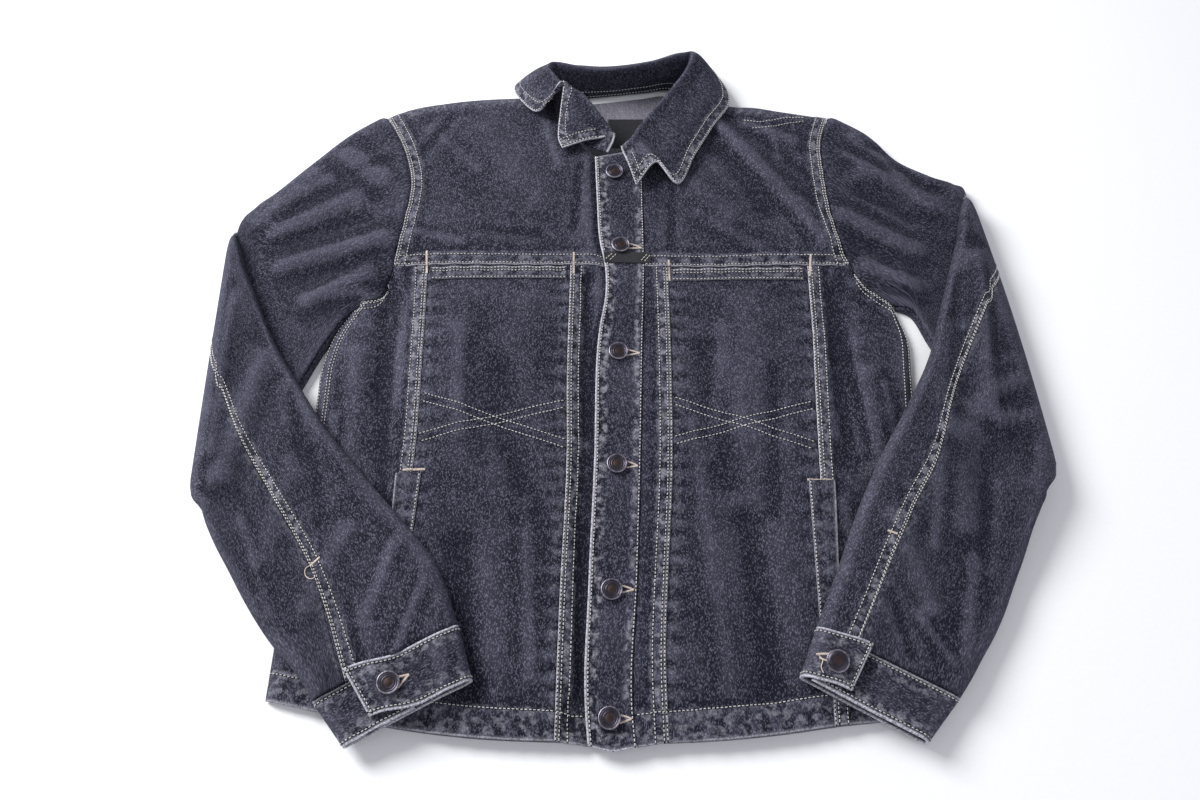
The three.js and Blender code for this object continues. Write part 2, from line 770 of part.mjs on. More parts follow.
function sectionPoint(section, place, isOuter, depth, armhole) {
  const width = Math.hypot(section.bx - section.ax, section.by - section.ay);
  const margin = depth ? CLOTH + 0.6 : 0;
  const w = clamp(place, margin / width, 1 - margin / width);
  const fromEdge = Math.min(place, 1 - place) * width;
  const flatSide = section.turn < 0.5 ? "outer" : "inner";
  const inner = FOLD_RADIUS - SLEEVE_LOFT;
  const low = inner + EDGE_LEVEL;
  const high = FOLD_RADIUS - EDGE_LEVEL;
  const edge = mix(high, low, section.turn);
  const outerReach = flatSide === "outer" ? mix(EDGE_LEVEL, 6, section.turn * 2) : 10;
  const innerReach = flatSide === "inner" ? mix(EDGE_LEVEL, 6, 2 - section.turn * 2) : 10;
  let [x, y] = armhole ? armhole(1 - w) : [mix(section.ax, section.bx, w), mix(section.ay, section.by, w)];
  const normal = [(section.by - section.ay) / width, -(section.bx - section.ax) / width];
  const side = Math.sign(section.ax) * Math.sign(normal[0]) || 1;
  let outerFace = edge + (FOLD_RADIUS - edge) * quarter(fromEdge / outerReach);
  let innerFace = edge - (edge - inner) * quarter(fromEdge / innerReach);
  if (armhole) innerFace = Math.min(FOLD_RADIUS - Math.max(frontHeight(x, y), 2 * EDGE_LEVEL), edge);
  const fade = smooth(fromEdge / 30);
  if (section.turn === 1) outerFace += foldHeight(FOREARM_FOLDS, x, y) * fade;
  if (section.turn === 0) innerFace -= foldHeight(UPPER_ARM_FOLDS, x, y) * fade;
  const turnAngle = section.turn * Math.PI;
  const centre = mix(section.za, section.zb, w);
  if (section.turn === 1) {
    const under = centre + innerFace;
    const needed = restHeight(x, y) + SLEEVE_REST;
    const lift = Math.max(0, needed - under);
    innerFace += lift;
    outerFace += lift;
  }
  if (depth) {
    const middle = (outerFace + innerFace) / 2;
    outerFace = Math.max(outerFace - depth, middle + 0.2);
    innerFace = Math.min(innerFace + depth, middle - 0.2);
  }
  const reach = isOuter ? outerFace : innerFace;
  x += side * normal[0] * reach * Math.sin(turnAngle);
  y += side * normal[1] * reach * Math.sin(turnAngle);
  return [x, y, Math.max(0, centre - reach * Math.cos(turnAngle))];
}

const bodyOutline = [...sampled.hem, ...sampled.rightSide, ...[...sampled.leftSide].reverse()];

function insideBody(x, y) {
  let inside = false;
  for (let i = 0, j = bodyOutline.length - 1; i < bodyOutline.length; j = i++) {
    const [xi, yi] = bodyOutline[i];
    const [xj, yj] = bodyOutline[j];
    if (yi > y !== yj > y && x < ((xj - xi) * (y - yi)) / (yj - yi) + xi) inside = !inside;
  }
  return inside;
}

// What a forearm lies on: the front's face, or the table outside it.
function restHeight(x, y) {
  return insideBody(x, y) ? frontHeight(x, y) : 0;
}

function sleevePiece(sections, armhole, path, gaps) {
  const face = (depth) =>
    path.map(({ place, layer }, i) =>
      sections.map((section, k) => {
        const width = Math.hypot(section.bx - section.ax, section.by - section.ay);
        const nudge = (gaps[i] || 0) / width;
        const isSeam = place === "seam";
        const warped = isSeam
          ? section.seam
          : layer === "outer" && place > 0.08 && place < 0.92
            ? place < 0.5
              ? mix(0.08, section.seam, (place - 0.08) / 0.42)
              : mix(section.seam, 0.92, (place - 0.5) / 0.42)
            : place;
        return sectionPoint(section, warped + nudge, layer === "outer", depth, k === 0 ? armhole : null);
      }),
    );
  return wallBetween(face(0), face(CLOTH));
}

function sleeve(name, sections, armhole) {
  const half = SEAM_GAP / 2;
  const spot = (place, layer) => ({ place, layer });
  const topPath = [
    spot("seam", "outer"),
    spot(0.28, "outer"),
    spot(0.08, "outer"),
    spot(0.02, "outer"),
    spot(0, "outer"),
    ...ACROSS_INNER.map((place) => spot(place, "inner")),
    spot(UNDER_SEAM, "inner"),
  ];
  const underPath = [
    spot(UNDER_SEAM, "inner"),
    spot(0.98, "inner"),
    spot(1, "outer"),
    spot(0.98, "outer"),
    spot(0.92, "outer"),
    spot(0.72, "outer"),
    spot("seam", "outer"),
  ];
  add(`sleeve_${name}_top`, sleevePiece(sections, armhole, topPath, { 0: -half, [topPath.length - 1]: -UNDER_SEAM_GAP / 2 }));
  add(
    `sleeve_${name}_under`,
    sleevePiece(sections, armhole, underPath, { 0: UNDER_SEAM_GAP / 2, [underPath.length - 1]: half }),
  );
}

const ARMHOLE_GAP = 0.9;
sleeve("left", LEFT_SLEEVE, shifted(curve.leftArmhole, -ARMHOLE_GAP, ARMHOLE_GAP));
sleeve("right", RIGHT_SLEEVE, shifted(curve.rightArmhole, ARMHOLE_GAP, ARMHOLE_GAP));

// Cuffs: a doubled strip that starts under its buttoned end, goes once round the wrist and ends on top.
function cuffFace(cuff, seamEnd, depth) {
  const steps = [
    [cuff.underStart, "under"],
    [mix(cuff.underStart, 0.9, 0.5), "under"],
    [0.9, "under"],
    [0.975, "under"],
    [1, "edge"],
    [0.975, "low"],
    [0.9, "low"],
    [0.5, "low"],
    [0.1, "low"],
    [0.025, "low"],
    [0, "edge"],
    [0.025, "top"],
    [0.1, "top"],
    [mix(0.1, cuff.tabEnd, 0.5), "top"],
    [cuff.tabEnd, "top"],
  ];
  return steps.map(([place, layer]) =>
    even(3).map((v) => {
      const start = mix(SEAM_GAP, 0, v);
      const a = [mix(seamEnd.ax, cuff.ax, v), mix(seamEnd.ay, cuff.ay, v)];
      const b = [mix(seamEnd.bx, cuff.bx, v), mix(seamEnd.by, cuff.by, v)];
      const width = Math.hypot(b[0] - a[0], b[1] - a[1]);
      const margin = depth && layer === "edge" ? depth / width : 0;
      const w = clamp(place, margin, 1 - margin);
      const length = Math.hypot(cuff.ax - seamEnd.ax, cuff.ay - seamEnd.ay);
      const x = mix(a[0], b[0], w) + ((cuff.ax - seamEnd.ax) / length) * start;
      const y = mix(a[1], b[1], w) + ((cuff.ay - seamEnd.ay) / length) * start;
      const loft = mix(cuff.loft, cuff.mouth, v);
      const fromEdge = Math.min(place, 1 - place) * width;
      const base = Math.max(mix(seamEnd.za, seamEnd.zb, w) * (1 - v) + mix(cuff.za, cuff.zb, w) * v, 0);
      const floor = Math.max(base, restHeight(x, y) + SLEEVE_REST);
      const drop = DOUBLE + LAY_GAP + 0.35;
      const rise = quarter(fromEdge / 9);
      const heights = {
        low: mix(3.4, 0, quarter(fromEdge / 5)),
        edge: 4,
        top: mix(4, loft, rise),
        under: mix(4, loft - drop, rise),
      };
      const inward = { low: depth, edge: 0, top: -depth, under: -depth };
      return [x, y, floor + heights[layer] + inward[layer]];
    }),
  );
}

function cuffTop(cuff, seamEnd, place, v) {
  const a = [mix(seamEnd.ax, cuff.ax, v), mix(seamEnd.ay, cuff.ay, v)];
  const b = [mix(seamEnd.bx, cuff.bx, v), mix(seamEnd.by, cuff.by, v)];
  const x = mix(a[0], b[0], place);
  const y = mix(a[1], b[1], place);
  const base = mix(seamEnd.za, seamEnd.zb, place) * (1 - v) + mix(cuff.za, cuff.zb, place) * v;
  return [x, y, Math.max(base, restHeight(x, y) + SLEEVE_REST) + mix(cuff.loft, cuff.mouth, v)];
}

// Collar: up from the neck seam, over the fold and down to its outer edge
const COLLAR_ROLL = 5;
const COLLAR_SEAT = 0.95; // clear of the cloth that it is sewn to, which slopes at the shoulders
const COLLAR_STEPS = 34;

function collarPath(station) {
  const under = Math.max(CLOTH, mix(CLOTH, frontHeight(station.bx, station.by), clamp(station.seat, 0, 1)));
  const base = [station.bx, station.by, under + COLLAR_SEAT];
  const fold = [station.fx, station.fy, station.fz];
  const edge = [station.ex, station.ey, station.ez];
  const out = new THREE.Vector2(edge[0] - fold[0], edge[1] - fold[1]).normalize();
  const roll = Math.min(COLLAR_ROLL, (station.fz - base[2]) * 0.42);
  const fall = [
    fold[0] + out.x * roll * 1.2,
    fold[1] + out.y * roll * 1.2,
    mix(fold[2], edge[2], 0.12) - 0.6,
  ];
  const stand = [
    mix(fold[0], base[0], 0.3) - out.x * roll * 0.35,
    mix(fold[1], base[1], 0.3) - out.y * roll * 0.35,
    mix(fold[2], base[2], 0.3),
  ];
  const middle = [0, 1, 2].map((k) => mix(fall[k], edge[k], 0.5) + (k === 2 ? 2.2 : 0));
  return smoothLine([base, stand, fold, fall, middle, edge]);
}

function collar() {
  const columns = Object.keys(COLLAR[0]);
  const alongCollar = smoothLine(COLLAR.map((station) => columns.map((name) => station[name])));
  const grid = even(COLLAR_STEPS).map((t) => {
    const values = alongCollar(t);
    const path = collarPath(Object.fromEntries(columns.map((name, i) => [name, values[i]])));
    return [0, 0.14, 0.27, 0.36, 0.44, 0.54, 0.68, 0.84, 1].map((s) => path(s));
  });
  return wallBetween(grid, offsetFace(grid, DOUBLE));
}
add("collar", collar(), materials.denimWorn);

// Shank buttons with a raised rim and a domed middle
function buttonProfile() {
  const { radius, height, rim } = BUTTON;
  return [
    [0, 0],
    [radius * 0.5, 0],
    [radius * 0.55, height * 0.3],
    [radius * 0.97, height * 0.42],
    [radius, height * 0.7],
    [radius - rim * 0.5, height],
    [radius - rim * 1.6, height * 0.8],
    [radius * 0.45, height * 0.95],
    [0, height],
  ].map(([r, z]) => new THREE.Vector2(r, z));
}

function button(name, x, y, z, tilt = 0, heading = 0) {
  const geometry = new THREE.LatheGeometry(buttonProfile(), BUTTON.segments);
  geometry.rotateX(Math.PI / 2);
  geometry.rotateY(tilt);
  geometry.rotateZ(heading);
  geometry.translate(x, y, z);
  add(name, geometry, materials.button);
}

FRONT_BUTTONS.forEach(({ x, y }, i) => {
  const foot = BUTTON.radius * 0.6;
  const under = Math.max(...[-foot, 0, foot].map((dy) => placketHeight(x, y + dy)));
  button(`button_front_${i + 1}`, x, y, under + LAY_GAP);
});
for (const cuff of CUFFS) {
  const sections = cuff.name === "left" ? LEFT_SLEEVE : RIGHT_SLEEVE;
  const seamEnd = sections[sections.length - 1];
  const rest = { ...seamEnd, za: seamEnd.za + 1.3, zb: seamEnd.zb + 1.3 };
  add(`cuff_${cuff.name}`, wallBetween(cuffFace(cuff, rest, 0), cuffFace(cuff, rest, DOUBLE)), materials.denimWorn);
  const { across: place, along: v } = CUFF_BUTTONS.find(({ name }) => name === cuff.name);
  const [x, y, z] = cuffTop(cuff, rest, place, v);
  button(`button_cuff_${cuff.name}`, x, y, z + LAY_GAP + 0.4);
}

// The origin is the middle of the jacket's footprint, on the surface it lies on.
const bounds = new THREE.Box3().setFromObject(jacket);
const middle = bounds.getCenter(new THREE.Vector3());
jacket.position.set(-middle.x, -middle.y, -bounds.min.z);

export default jacket;
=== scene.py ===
"""A charcoal denim jacket that lies on its back, buttoned, with both sleeves folded over its fronts."""

import math

import bpy
import numpy as np
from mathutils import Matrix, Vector
from mathutils.bvhtree import BVHTree


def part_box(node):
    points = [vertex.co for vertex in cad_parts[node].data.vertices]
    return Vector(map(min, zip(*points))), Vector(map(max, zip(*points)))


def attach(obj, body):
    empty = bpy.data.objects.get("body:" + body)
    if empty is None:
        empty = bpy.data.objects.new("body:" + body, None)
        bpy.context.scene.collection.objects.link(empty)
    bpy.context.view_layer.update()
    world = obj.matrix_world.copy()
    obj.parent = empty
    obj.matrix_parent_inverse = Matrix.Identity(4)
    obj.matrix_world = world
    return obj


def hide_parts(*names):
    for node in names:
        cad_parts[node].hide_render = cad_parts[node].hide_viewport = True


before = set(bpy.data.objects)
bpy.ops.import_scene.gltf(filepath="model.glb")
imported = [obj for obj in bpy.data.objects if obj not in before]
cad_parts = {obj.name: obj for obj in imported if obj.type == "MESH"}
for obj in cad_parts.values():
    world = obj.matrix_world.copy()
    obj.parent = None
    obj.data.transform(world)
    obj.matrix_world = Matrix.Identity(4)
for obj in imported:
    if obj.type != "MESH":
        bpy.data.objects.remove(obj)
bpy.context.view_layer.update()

bl_info = {
    "name": "Denim jacket",
    "version": (1, 0, 0),
    "blender": (4, 5, 0),
    "location": "View3D > Sidebar > Denim jacket",
    "description": "Cloth, topstitching and metal buttons for a denim jacket laid flat",
    "category": "Object",
}

# Millimetres and the drafting frame: x from shoulder to shoulder, y from hem to collar. The drafting
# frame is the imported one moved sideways, so that button 4 stands where the draft has it.
MM = 0.001
BUTTON_4 = (14.0, -69.0)
BUTTON_LOW, BUTTON_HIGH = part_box("button_front_4")
SHIFT = np.array([
    (BUTTON_LOW[0] + BUTTON_HIGH[0]) / 2 - BUTTON_4[0] * MM,
    (BUTTON_LOW[1] + BUTTON_HIGH[1]) / 2 - BUTTON_4[1] * MM,
    0.0,
])

# Gaps between two pieces sewn edge to edge, and between a strip and the cloth that it lies on
SEAM_GAP, LAY_GAP = 0.4, 0.35
# The fronts: how high and wide they round up from the table at their folded edges, their full height and
# how far in they reach it, how low they settle at the hem and from how far above it
ROUND_HEIGHT, ROUND_WIDTH = 9.0, 12.0
CHEST_HEIGHT, RISE_WIDTH = 16.5, 110.0
HEM_SETTLE, HEM_REACH = 0.62, 70.0
# How deep the left front dips under the placket, and over what width
TUCK_DEPTH, TUCK_WIDTH = 3.2, 8.0
# Sleeves: half their height, the height of the upper arm's face, of its edges, and the gap under the forearm
FOLD_RADIUS, SLEEVE_LOFT = 13.0, 11.0
EDGE_LEVEL, SLEEVE_REST = 1.9, 2.6
# Place of the underarm seam across the sleeve, its gap, and the sleeve's distance from the armhole
UNDER_SEAM, UNDER_SEAM_GAP = 0.985, 0.8
ARMHOLE_GAP = 0.9
# The back stays inside the fronts' outline by the first, and its yoke starts at the second
BACK_INSET, BACK_YOKE_SEAM = 3.6, 214.0
# How far the left front reaches under the placket's edge, and the button stand's width
UNDER_PLACKET, STAND_WIDTH = 4.0, 31.0
# Radius of the collar's fold, and how far its seam stands above the cloth
COLLAR_ROLL, COLLAR_SEAT = 5.0, 0.95
BUTTON_RADIUS, BUTTON_HEIGHT = 8.5, 3.4


def table(columns, rows):
    """Rows of numbers as dictionaries with named columns."""
    names = columns.split()
    return [dict(zip(names, row)) for row in rows]


# Edges and seams from above. Upright ones run from the hem upwards, level ones from left to right.
LINE = {
    "hem": [[-250, -256], [-212, -264], [-160, -275], [-97, -283], [-34, -286], [30, -287], [100, -284],
            [147, -279], [175, -275], [212, -271], [241, -266]],
    "yoke": [[-190, 132], [-133, 132], [-60, 131], [0, 131], [63, 129], [117, 129], [165, 131], [229, 132]],
    "leftSide": [[-250, -256], [-249, -190], [-245, -86], [-245, -2], [-245, 28], [-238, 62], [-221, 94]],
    "rightSide": [[241, -266], [245, -233], [251, -179], [258, -112], [266, -49], [273, 23], [275, 59],
                  [267, 90]],
    "leftOuter": [[-164, -274], [-158, -160], [-153, -40], [-155, 46], [-158, 132]],
    "rightOuter": [[171.5, -275], [176, -160], [180, -79], [184.5, 9], [188, 70], [189.5, 131]],
    "leftInner": [[-33.5, -286], [-33, -266], [-30.5, -159], [-27.5, -67], [-28.5, 11], [-27, 131]],
    "rightInner": [[50.5, -287], [49.5, -226], [53.5, -159], [59, -83], [62, 36], [62, 129]],
    "placketEdge": [[-9, -289], [-11, -266], [-9, -168], [-5, -67], [-1, 60], [5, 103], [4, 133], [0, 155],
                    [-3, 205], [-5, 259]],
    "placketStitch": [[27, -290], [25, -266], [30, -160], [34, -67], [38, 50], [41, 132], [41, 200],
                      [41, 268]],
    "leftArmhole": [[-221, 94], [-197, 103], [-192, 119], [-188, 151], [-184, 180], [-181, 226],
                    [-192, 271], [-215, 321]],
    "rightArmhole": [[267, 90], [237, 116], [225, 147], [218, 187], [216, 239], [218, 280], [230, 321]],
    "leftShoulder": [[-215, 322], [-200, 331], [-155, 343], [-105, 349], [-70, 350], [-46, 349]],
    "rightShoulder": [[88, 355], [110, 345], [137, 338], [157, 337], [181, 332], [230, 322]],
    "backNeck": [[-41, 340], [-37, 350], [-14, 353], [16, 357], [45, 361.5], [70, 365], [82, 358],
                 [84, 347]],
    "leftNeck": [[-4, 262], [-14, 272], [-28, 292], [-38, 308], [-44, 328], [-46, 346]],
    "rightNeck": [[41, 268], [54, 284], [72, 308], [84, 332], [88, 353]],
}

# Folds of the fronts: from one end to the other, half width and height. Troughs are below zero.
FOLD_COLUMNS = "x0 y0 x1 y1 width height"
BODY_FOLDS = table(FOLD_COLUMNS, [
    [104, 322, 208, 160, 12, 6.5],
    [124, 268, 158, 196, 13, -3.5],
    [148, 305, 190, 285, 8, 3],
    [-12, 116, -12, -40, 9, -6.5],
    [-14, -60, -20, -276, 9, -7],
    [-192, 112, -186, 0, 13, -6],
    [-178, -20, -172, -120, 12, -3.5],
    [-112, -140, -96, -240, 15, -6],
    [-128, 60, -118, -60, 18, 3],
    [-84, 20, -60, -110, 16, -3],
    [212, 100, 206, -60, 13, -4],
    [232, 20, 236, -110, 12, 3],
    [-214, 40, -208, -60, 12, 3],
    [118, -120, 128, -250, 15, -5],
    [92, 40, 104, -80, 15, -3],
    [60, 250, 120, 190, 16, 3],
    [-120, 300, -60, 210, 20, 3],
    [-70, 90, -75, -30, 22, 2.5],
    [125, 90, 120, -30, 22, 2.5],
])
BODY_CREASES = table(FOLD_COLUMNS, [
    [92, 330, 196, 158, 5, -1.6],
    [150, 300, 200, 240, 6, -1.2],
    [168, 312, 176, 262, 4, 0.9],
    [190, 205, 212, 180, 5, 1.0],
    [-150, 318, -182, 250, 6, -1.1],
    [-168, 300, -120, 246, 8, 0.9],
    [-172, 170, -130, 158, 5, 1.0],
    [-118, 175, -60, 168, 6, -0.8],
    [-60, 330, -40, 250, 7, 1.2],
    [-20, 250, -24, 176, 4, -1.2],
    [-176, 60, -172, -90, 4, 1.2],
    [-226, -20, -222, -150, 5, 1.0],
    [-204, -90, -196, -220, 6, -1.2],
    [-150, -130, -134, -262, 5, 1.1],
    [-124, 60, -118, -40, 7, 0.7],
    [-60, -100, -52, -240, 7, 0.9],
    [-92, -20, -36, -140, 9, -0.7],
    [-20, 118, -14, 40, 3.2, 1.3],
    [-24, -110, -22, -250, 3.4, 1.4],
    [78, -30, 96, -250, 8, 0.8],
    [150, 20, 138, -110, 8, -0.8],
    [108, 60, 92, -60, 7, 0.7],
    [196, 60, 198, -40, 5, 1.2],
    [216, 60, 224, -60, 4, -1.2],
    [246, 10, 250, -90, 5, 1.0],
    [196, -100, 208, -200, 6, 1.1],
    [70, 240, 66, 150, 5, -0.9],
    [90, 190, 150, 150, 8, 1.0],
])

# Folds of the upper arms, fanning out from the armpits, and of the forearms that lie on them
UPPER_ARM_FOLDS = table(FOLD_COLUMNS, [
    [-288, 134, -205, 163, 10, 5.5],
    [-262, 96, -212, 126, 8, 5],
    [-300, 172, -236, 212, 12, 4.5],
    [-318, 190, -284, 244, 13, 3.5],
    [-246, 268, -214, 236, 11, 3],
    [292, 152, 232, 188, 10, 5],
    [288, 112, 245, 133, 8, 4.5],
    [316, 206, 258, 246, 12, 4.5],
    [256, 290, 290, 236, 10, 3],
])
UPPER_ARM_CREASES = table(FOLD_COLUMNS, [
    [-300, 160, -220, 190, 5, -1.6],
    [-268, 120, -206, 146, 4, -1.6],
    [-250, 240, -206, 262, 6, -1.1],
    [-300, 205, -262, 236, 7, 1.2],
    [-246, 98, -216, 108, 4, 1.6],
    [292, 140, 236, 160, 5, -1.6],
    [296, 190, 246, 222, 6, -1.3],
    [276, 232, 240, 268, 5, 1.3],
    [280, 284, 318, 236, 6, 1.6],
    [262, 280, 300, 262, 5, -1.2],
])
FOREARM_FOLDS = table(FOLD_COLUMNS, [
    [-288, 30, -304, -80, 11, 5],
    [-262, 10, -246, -66, 10, -3],
    [-318, 118, -324, 20, 12, 3],
    [-250, -70, -262, -150, 11, 3],
    [-200, -130, -222, -190, 10, 2.5],
    [343, 132, 326, -20, 11, 6.5],
    [322, 110, 306, 0, 11, -3],
    [300, 60, 286, -40, 12, 3],
    [360, 10, 335, -6, 7, 3],
    [362, -18, 332, -34, 7, 3],
    [300, -40, 290, -120, 12, 3],
    [235, -120, 250, -190, 11, 3],
])
FOREARM_CREASES = table(FOLD_COLUMNS, [
    [-324, 90, -318, -60, 5, 1.4],
    [-300, 100, -290, 30, 7, -1.1],
    [-330, -20, -318, -96, 4, -1.4],
    [-268, 0, -250, -70, 6, 0.9],
    [-236, -60, -220, -120, 7, -1.0],
    [-284, -120, -250, -196, 5, 1.0],
    [-160, -140, -176, -200, 6, 1.3],
    [-134, -170, -150, -224, 4, 1.4],
    [-190, -190, -176, -232, 4, -1.1],
    [352, 150, 340, 30, 5, -1.4],
    [336, 170, 318, 60, 5, 1.3],
    [368, 40, 350, 24, 4, 1.2],
    [372, -8, 348, -22, 4, -1.5],
    [366, -40, 350, -90, 5, 1.2],
    [318, -60, 300, -150, 6, -1.1],
    [280, -60, 262, -140, 6, 1.0],
    [292, -150, 272, -226, 6, 1.2],
    [240, -196, 262, -232, 4, 1.3],
    [222, -180, 232, -226, 4, -1.1],
])

# Sleeve sections from the armhole to the cuff. a is the edge along the top of the arm and b the edge
# under it, turn runs from 0 on the table to 1 once the forearm lies on top, za and zb are the heights
# the section turns about, and seam is the place of the back seam across it.
SLEEVE_COLUMNS = "ax ay bx by za zb turn seam"
SLEEVE = {
    "left": [
        [-216, 321, -222, 94, 13, 13, 0, 0.5],
        [-246, 301, -234, 68, 13, 13, 0, 0.5],
        [-279, 265, -247, 40, 13, 13, 0, 0.5],
        [-312, 226, -263, 0, 13, 13, 0, 0.5],
        [-329, 208, -288, -52, 13, 13, 0, 0.51],
        [-341.5, 180, -320, -98, 13, 13, 0, 0.39],
        [-341.5, 174, -320.5, -101, 13, 13, 0.25, 0.41],
        [-341, 169, -321, -104, 13, 13, 0.5, 0.44],
        [-339.5, 164, -320, -107, 13, 13, 0.75, 0.48],
        [-335.5, 157, -318, -111, 13, 13, 1, 0.549],
        [-324, 128, -313, -122, 13.2, 12.8, 1, 0.535],
        [-308, 95, -304, -138, 13.6, 11.4, 1, 0.538],
        [-286, 50, -291, -158, 13.6, 8, 1, 0.535],
        [-258, 6, -276, -181, 13, 6, 1, 0.528],
        [-226, -40, -258.5, -204, 14, 9, 1, 0.536],
        [-192, -80, -243.5, -221, 15, 11, 1, 0.582],
        [-158, -118, -230, -234, 16, 11.5, 1, 0.669],
        [-127, -156, -219, -247, 16, 11, 1, 0.742],
        [-107, -203, -211, -259, 15, 10, 1, 0.765],
    ],
    "right": [
        [231, 322, 269, 90, 13, 13, 0, 0.5],
        [262, 302, 281, 84, 13, 13, 0, 0.5],
        [292, 264, 293, 54, 13, 13, 0, 0.5],
        [320, 246, 308, 16, 13, 13, 0, 0.5],
        [342, 236, 332, -34, 13, 13, 0, 0.49],
        [351, 222, 359.5, -80, 13, 13, 0, 0.25],
        [350, 216, 360.5, -84, 13, 13, 0.25, 0.27],
        [348.5, 212, 361, -87.5, 13, 13, 0.5, 0.29],
        [346.5, 208, 360.5, -91, 13, 13, 0.75, 0.32],
        [343.5, 202, 359.5, -96, 13, 13, 1, 0.352],
        [332, 164, 354, -107, 13.2, 12.8, 1, 0.321],
        [318, 124, 343.5, -126, 13.6, 11.4, 1, 0.297],
        [303, 82, 333.5, -148, 13.6, 8, 1, 0.268],
        [286, 34, 322, -171, 13, 5, 1, 0.242],
        [260, -14, 311, -192, 14, 5, 1, 0.299],
        [231, -62, 299.5, -210.5, 15, 5, 1, 0.299],
        [205, -112, 288, -226, 16, 6, 1, 0.297],
        [183, -162, 276.5, -242, 16, 7, 1, 0.284],
        [163, -205, 265.5, -256, 15, 7, 1, 0.278],
    ],
}

# How full the folded edge at each elbow is at its upper and lower end, how far it bows out between them,
# and how soon its ends round off
ELBOW = {"left": (0.36, 0.95, 0.5), "right": (0.45, 1.2, 4.0)}
ELBOW_ROUND = 26.0

# Cuffs: far edge of each, the heights it turns about, the height at the seam and at the mouth, and the
# places across it where the buttoned end stops and the end under it starts, and how far that end climbs.
CUFFS = table("name ax ay bx by za zb loft mouth tabEnd underStart climb", [
    ["left", -94, -244, -185, -291, 13, 9, 11, 13, 0.76, 0.44, 9],
    ["right", 147, -242, 237, -288, 13, 7, 11, 17, 0.37, 0.08, 6],
])

# Collar from its left front end round the back of the neck to its right front end: the neck seam, the
# fold and the outer edge at each station. seat is 1 where the seam lies on a front and 0 on the back.
COLLAR_COLUMNS = "bx by seat fx fy fz ex ey ez"
COLLAR = [
    [8, 264, 1, 15, 280, 27, -37, 266, 23],
    [-13, 274, 1, -2, 302, 35, -41, 279, 23],
    [-27, 293, 1, -14, 319, 37, -39, 308, 27],
    [-34, 303, 1, -25, 328, 39, -37, 335, 42],
    [-40, 314, 1, -36, 336, 38, -54, 318, 27],
    [-45, 328, 1, -44, 346, 38, -64, 317, 18],
    [-44.5, 332, 1, -48, 352, 38.5, -77, 332, 15],
    [-43.5, 336, 1, -52, 358, 39, -88, 355, 12],
    [-38, 345, 0.3, -49, 362, 40, -84, 366, 10],
    [-34, 348, 0, -43, 363, 40, -66, 387, 6],
    [-14, 350, 0, -24, 359, 39, -34, 394, 4.5],
    [16, 354, 0, 4, 355, 38, 4, 392, 4.5],
    [45, 358, 0, 50, 363, 39, 52, 398, 4.5],
    [70, 361, 0.1, 82, 375, 40, 94, 408, 6],
    [80, 354, 0.15, 94, 376, 40, 119, 376, 9],
    [83, 337, 1, 86, 354, 39, 131, 336, 14],
    [78, 316, 1, 70, 330, 37, 112, 296, 20],
    [60, 290, 1, 52, 304, 35, 92, 256, 24],
    [47, 275, 1, 38, 286, 32, 73, 220, 24],
    [36, 266, 1, 30, 272, 31, 54, 238, 35],
    [24, 260, 1, 20, 262, 29, 34, 219, 24],
]

FRONT_BUTTONS = [[14, 239], [19, 152], [16, 38], [14, -69], [9, -175], [7, -270]]
CUFF_BUTTONS = {"left": (0.53, 0.42), "right": (0.2, 0.5)}


def linear(hex_colour):
    """An sRGB hex colour as linear RGBA."""
    parts = [int(hex_colour[i:i + 2], 16) / 255 for i in (0, 2, 4)]
    return tuple(c / 12.92 if c <= 0.04045 else ((c + 0.055) / 1.055) ** 2.4 for c in parts) + (1.0,)


def length(name, description, millimetres):
    """A size that a user would change, in metres."""
    return bpy.props.FloatProperty(
        name=name, description=description, default=millimetres * MM, unit="LENGTH", subtype="DISTANCE"
    )


def colour(name, description, hex_colour):
    """A colour that a user would change."""
    return bpy.props.FloatVectorProperty(
        name=name, description=description, default=linear(hex_colour), size=4, subtype="COLOR", min=0, max=1
    )


class JacketSizes(bpy.types.PropertyGroup):
    """Sizes of the cloth, the thread and the folds."""

    cloth: length("Cloth", "Thickness of one layer of denim", 1.5)
    doubled: length("Doubled cloth", "Thickness of the folded placket, cuffs and collar", 2.2)
    trim: length("Trim", "Thickness of pocket bands and welts", 1.0)
    ribbon: length("Ribbon", "Thickness of the woven label and tab", 0.7)
    cell: length("Cell", "Size of the cloth's mesh cells", 3.6)
    stitch: length("Stitch", "Length of one topstitch on the surface", 2.5)
    stitch_gap: length("Stitch gap", "Cloth between two topstitches", 0.65)
    thread: length("Thread", "Width of the topstitching thread", 0.85)
    seam_rise: length("Seam rise", "How far a felled seam stands above the cloth beside it", 0.9)
    crease: bpy.props.FloatProperty(
        name="Creases", description="Depth of the small creases", default=1.45, min=0, max=2, subtype="FACTOR"
    )


class JacketColours(bpy.types.PropertyGroup):
    """Colours of the denim, thread, ribbon and metal."""

    warp_dark: colour("Dark warp", "Dyed warp threads, darkest", "181824")
    warp_light: colour("Light warp", "Dyed warp threads where the dye has washed out", "8a8a9e")
    worn: colour("Worn", "Denim rubbed pale on edges and seams", "d0ced8")
    inside_dark: colour("Dark inside", "Wrong side of the denim, where the dyed warp shows", "6d6b75")
    inside_light: colour("Light inside", "Wrong side of the denim, undyed weft", "c6c4cd")
    thread: colour("Thread", "Topstitching thread", "dedad9")
    tack: colour("Bar tack", "Thread of bar tacks and buttonholes", "e6d6c8")
    ribbon: colour("Ribbon", "Woven label and tab", "17171c")
    metal: colour("Metal", "Antiqued metal of the buttons", "6f6874")
    copper: colour("Copper", "Browned middle of the buttons", "4a3a36")


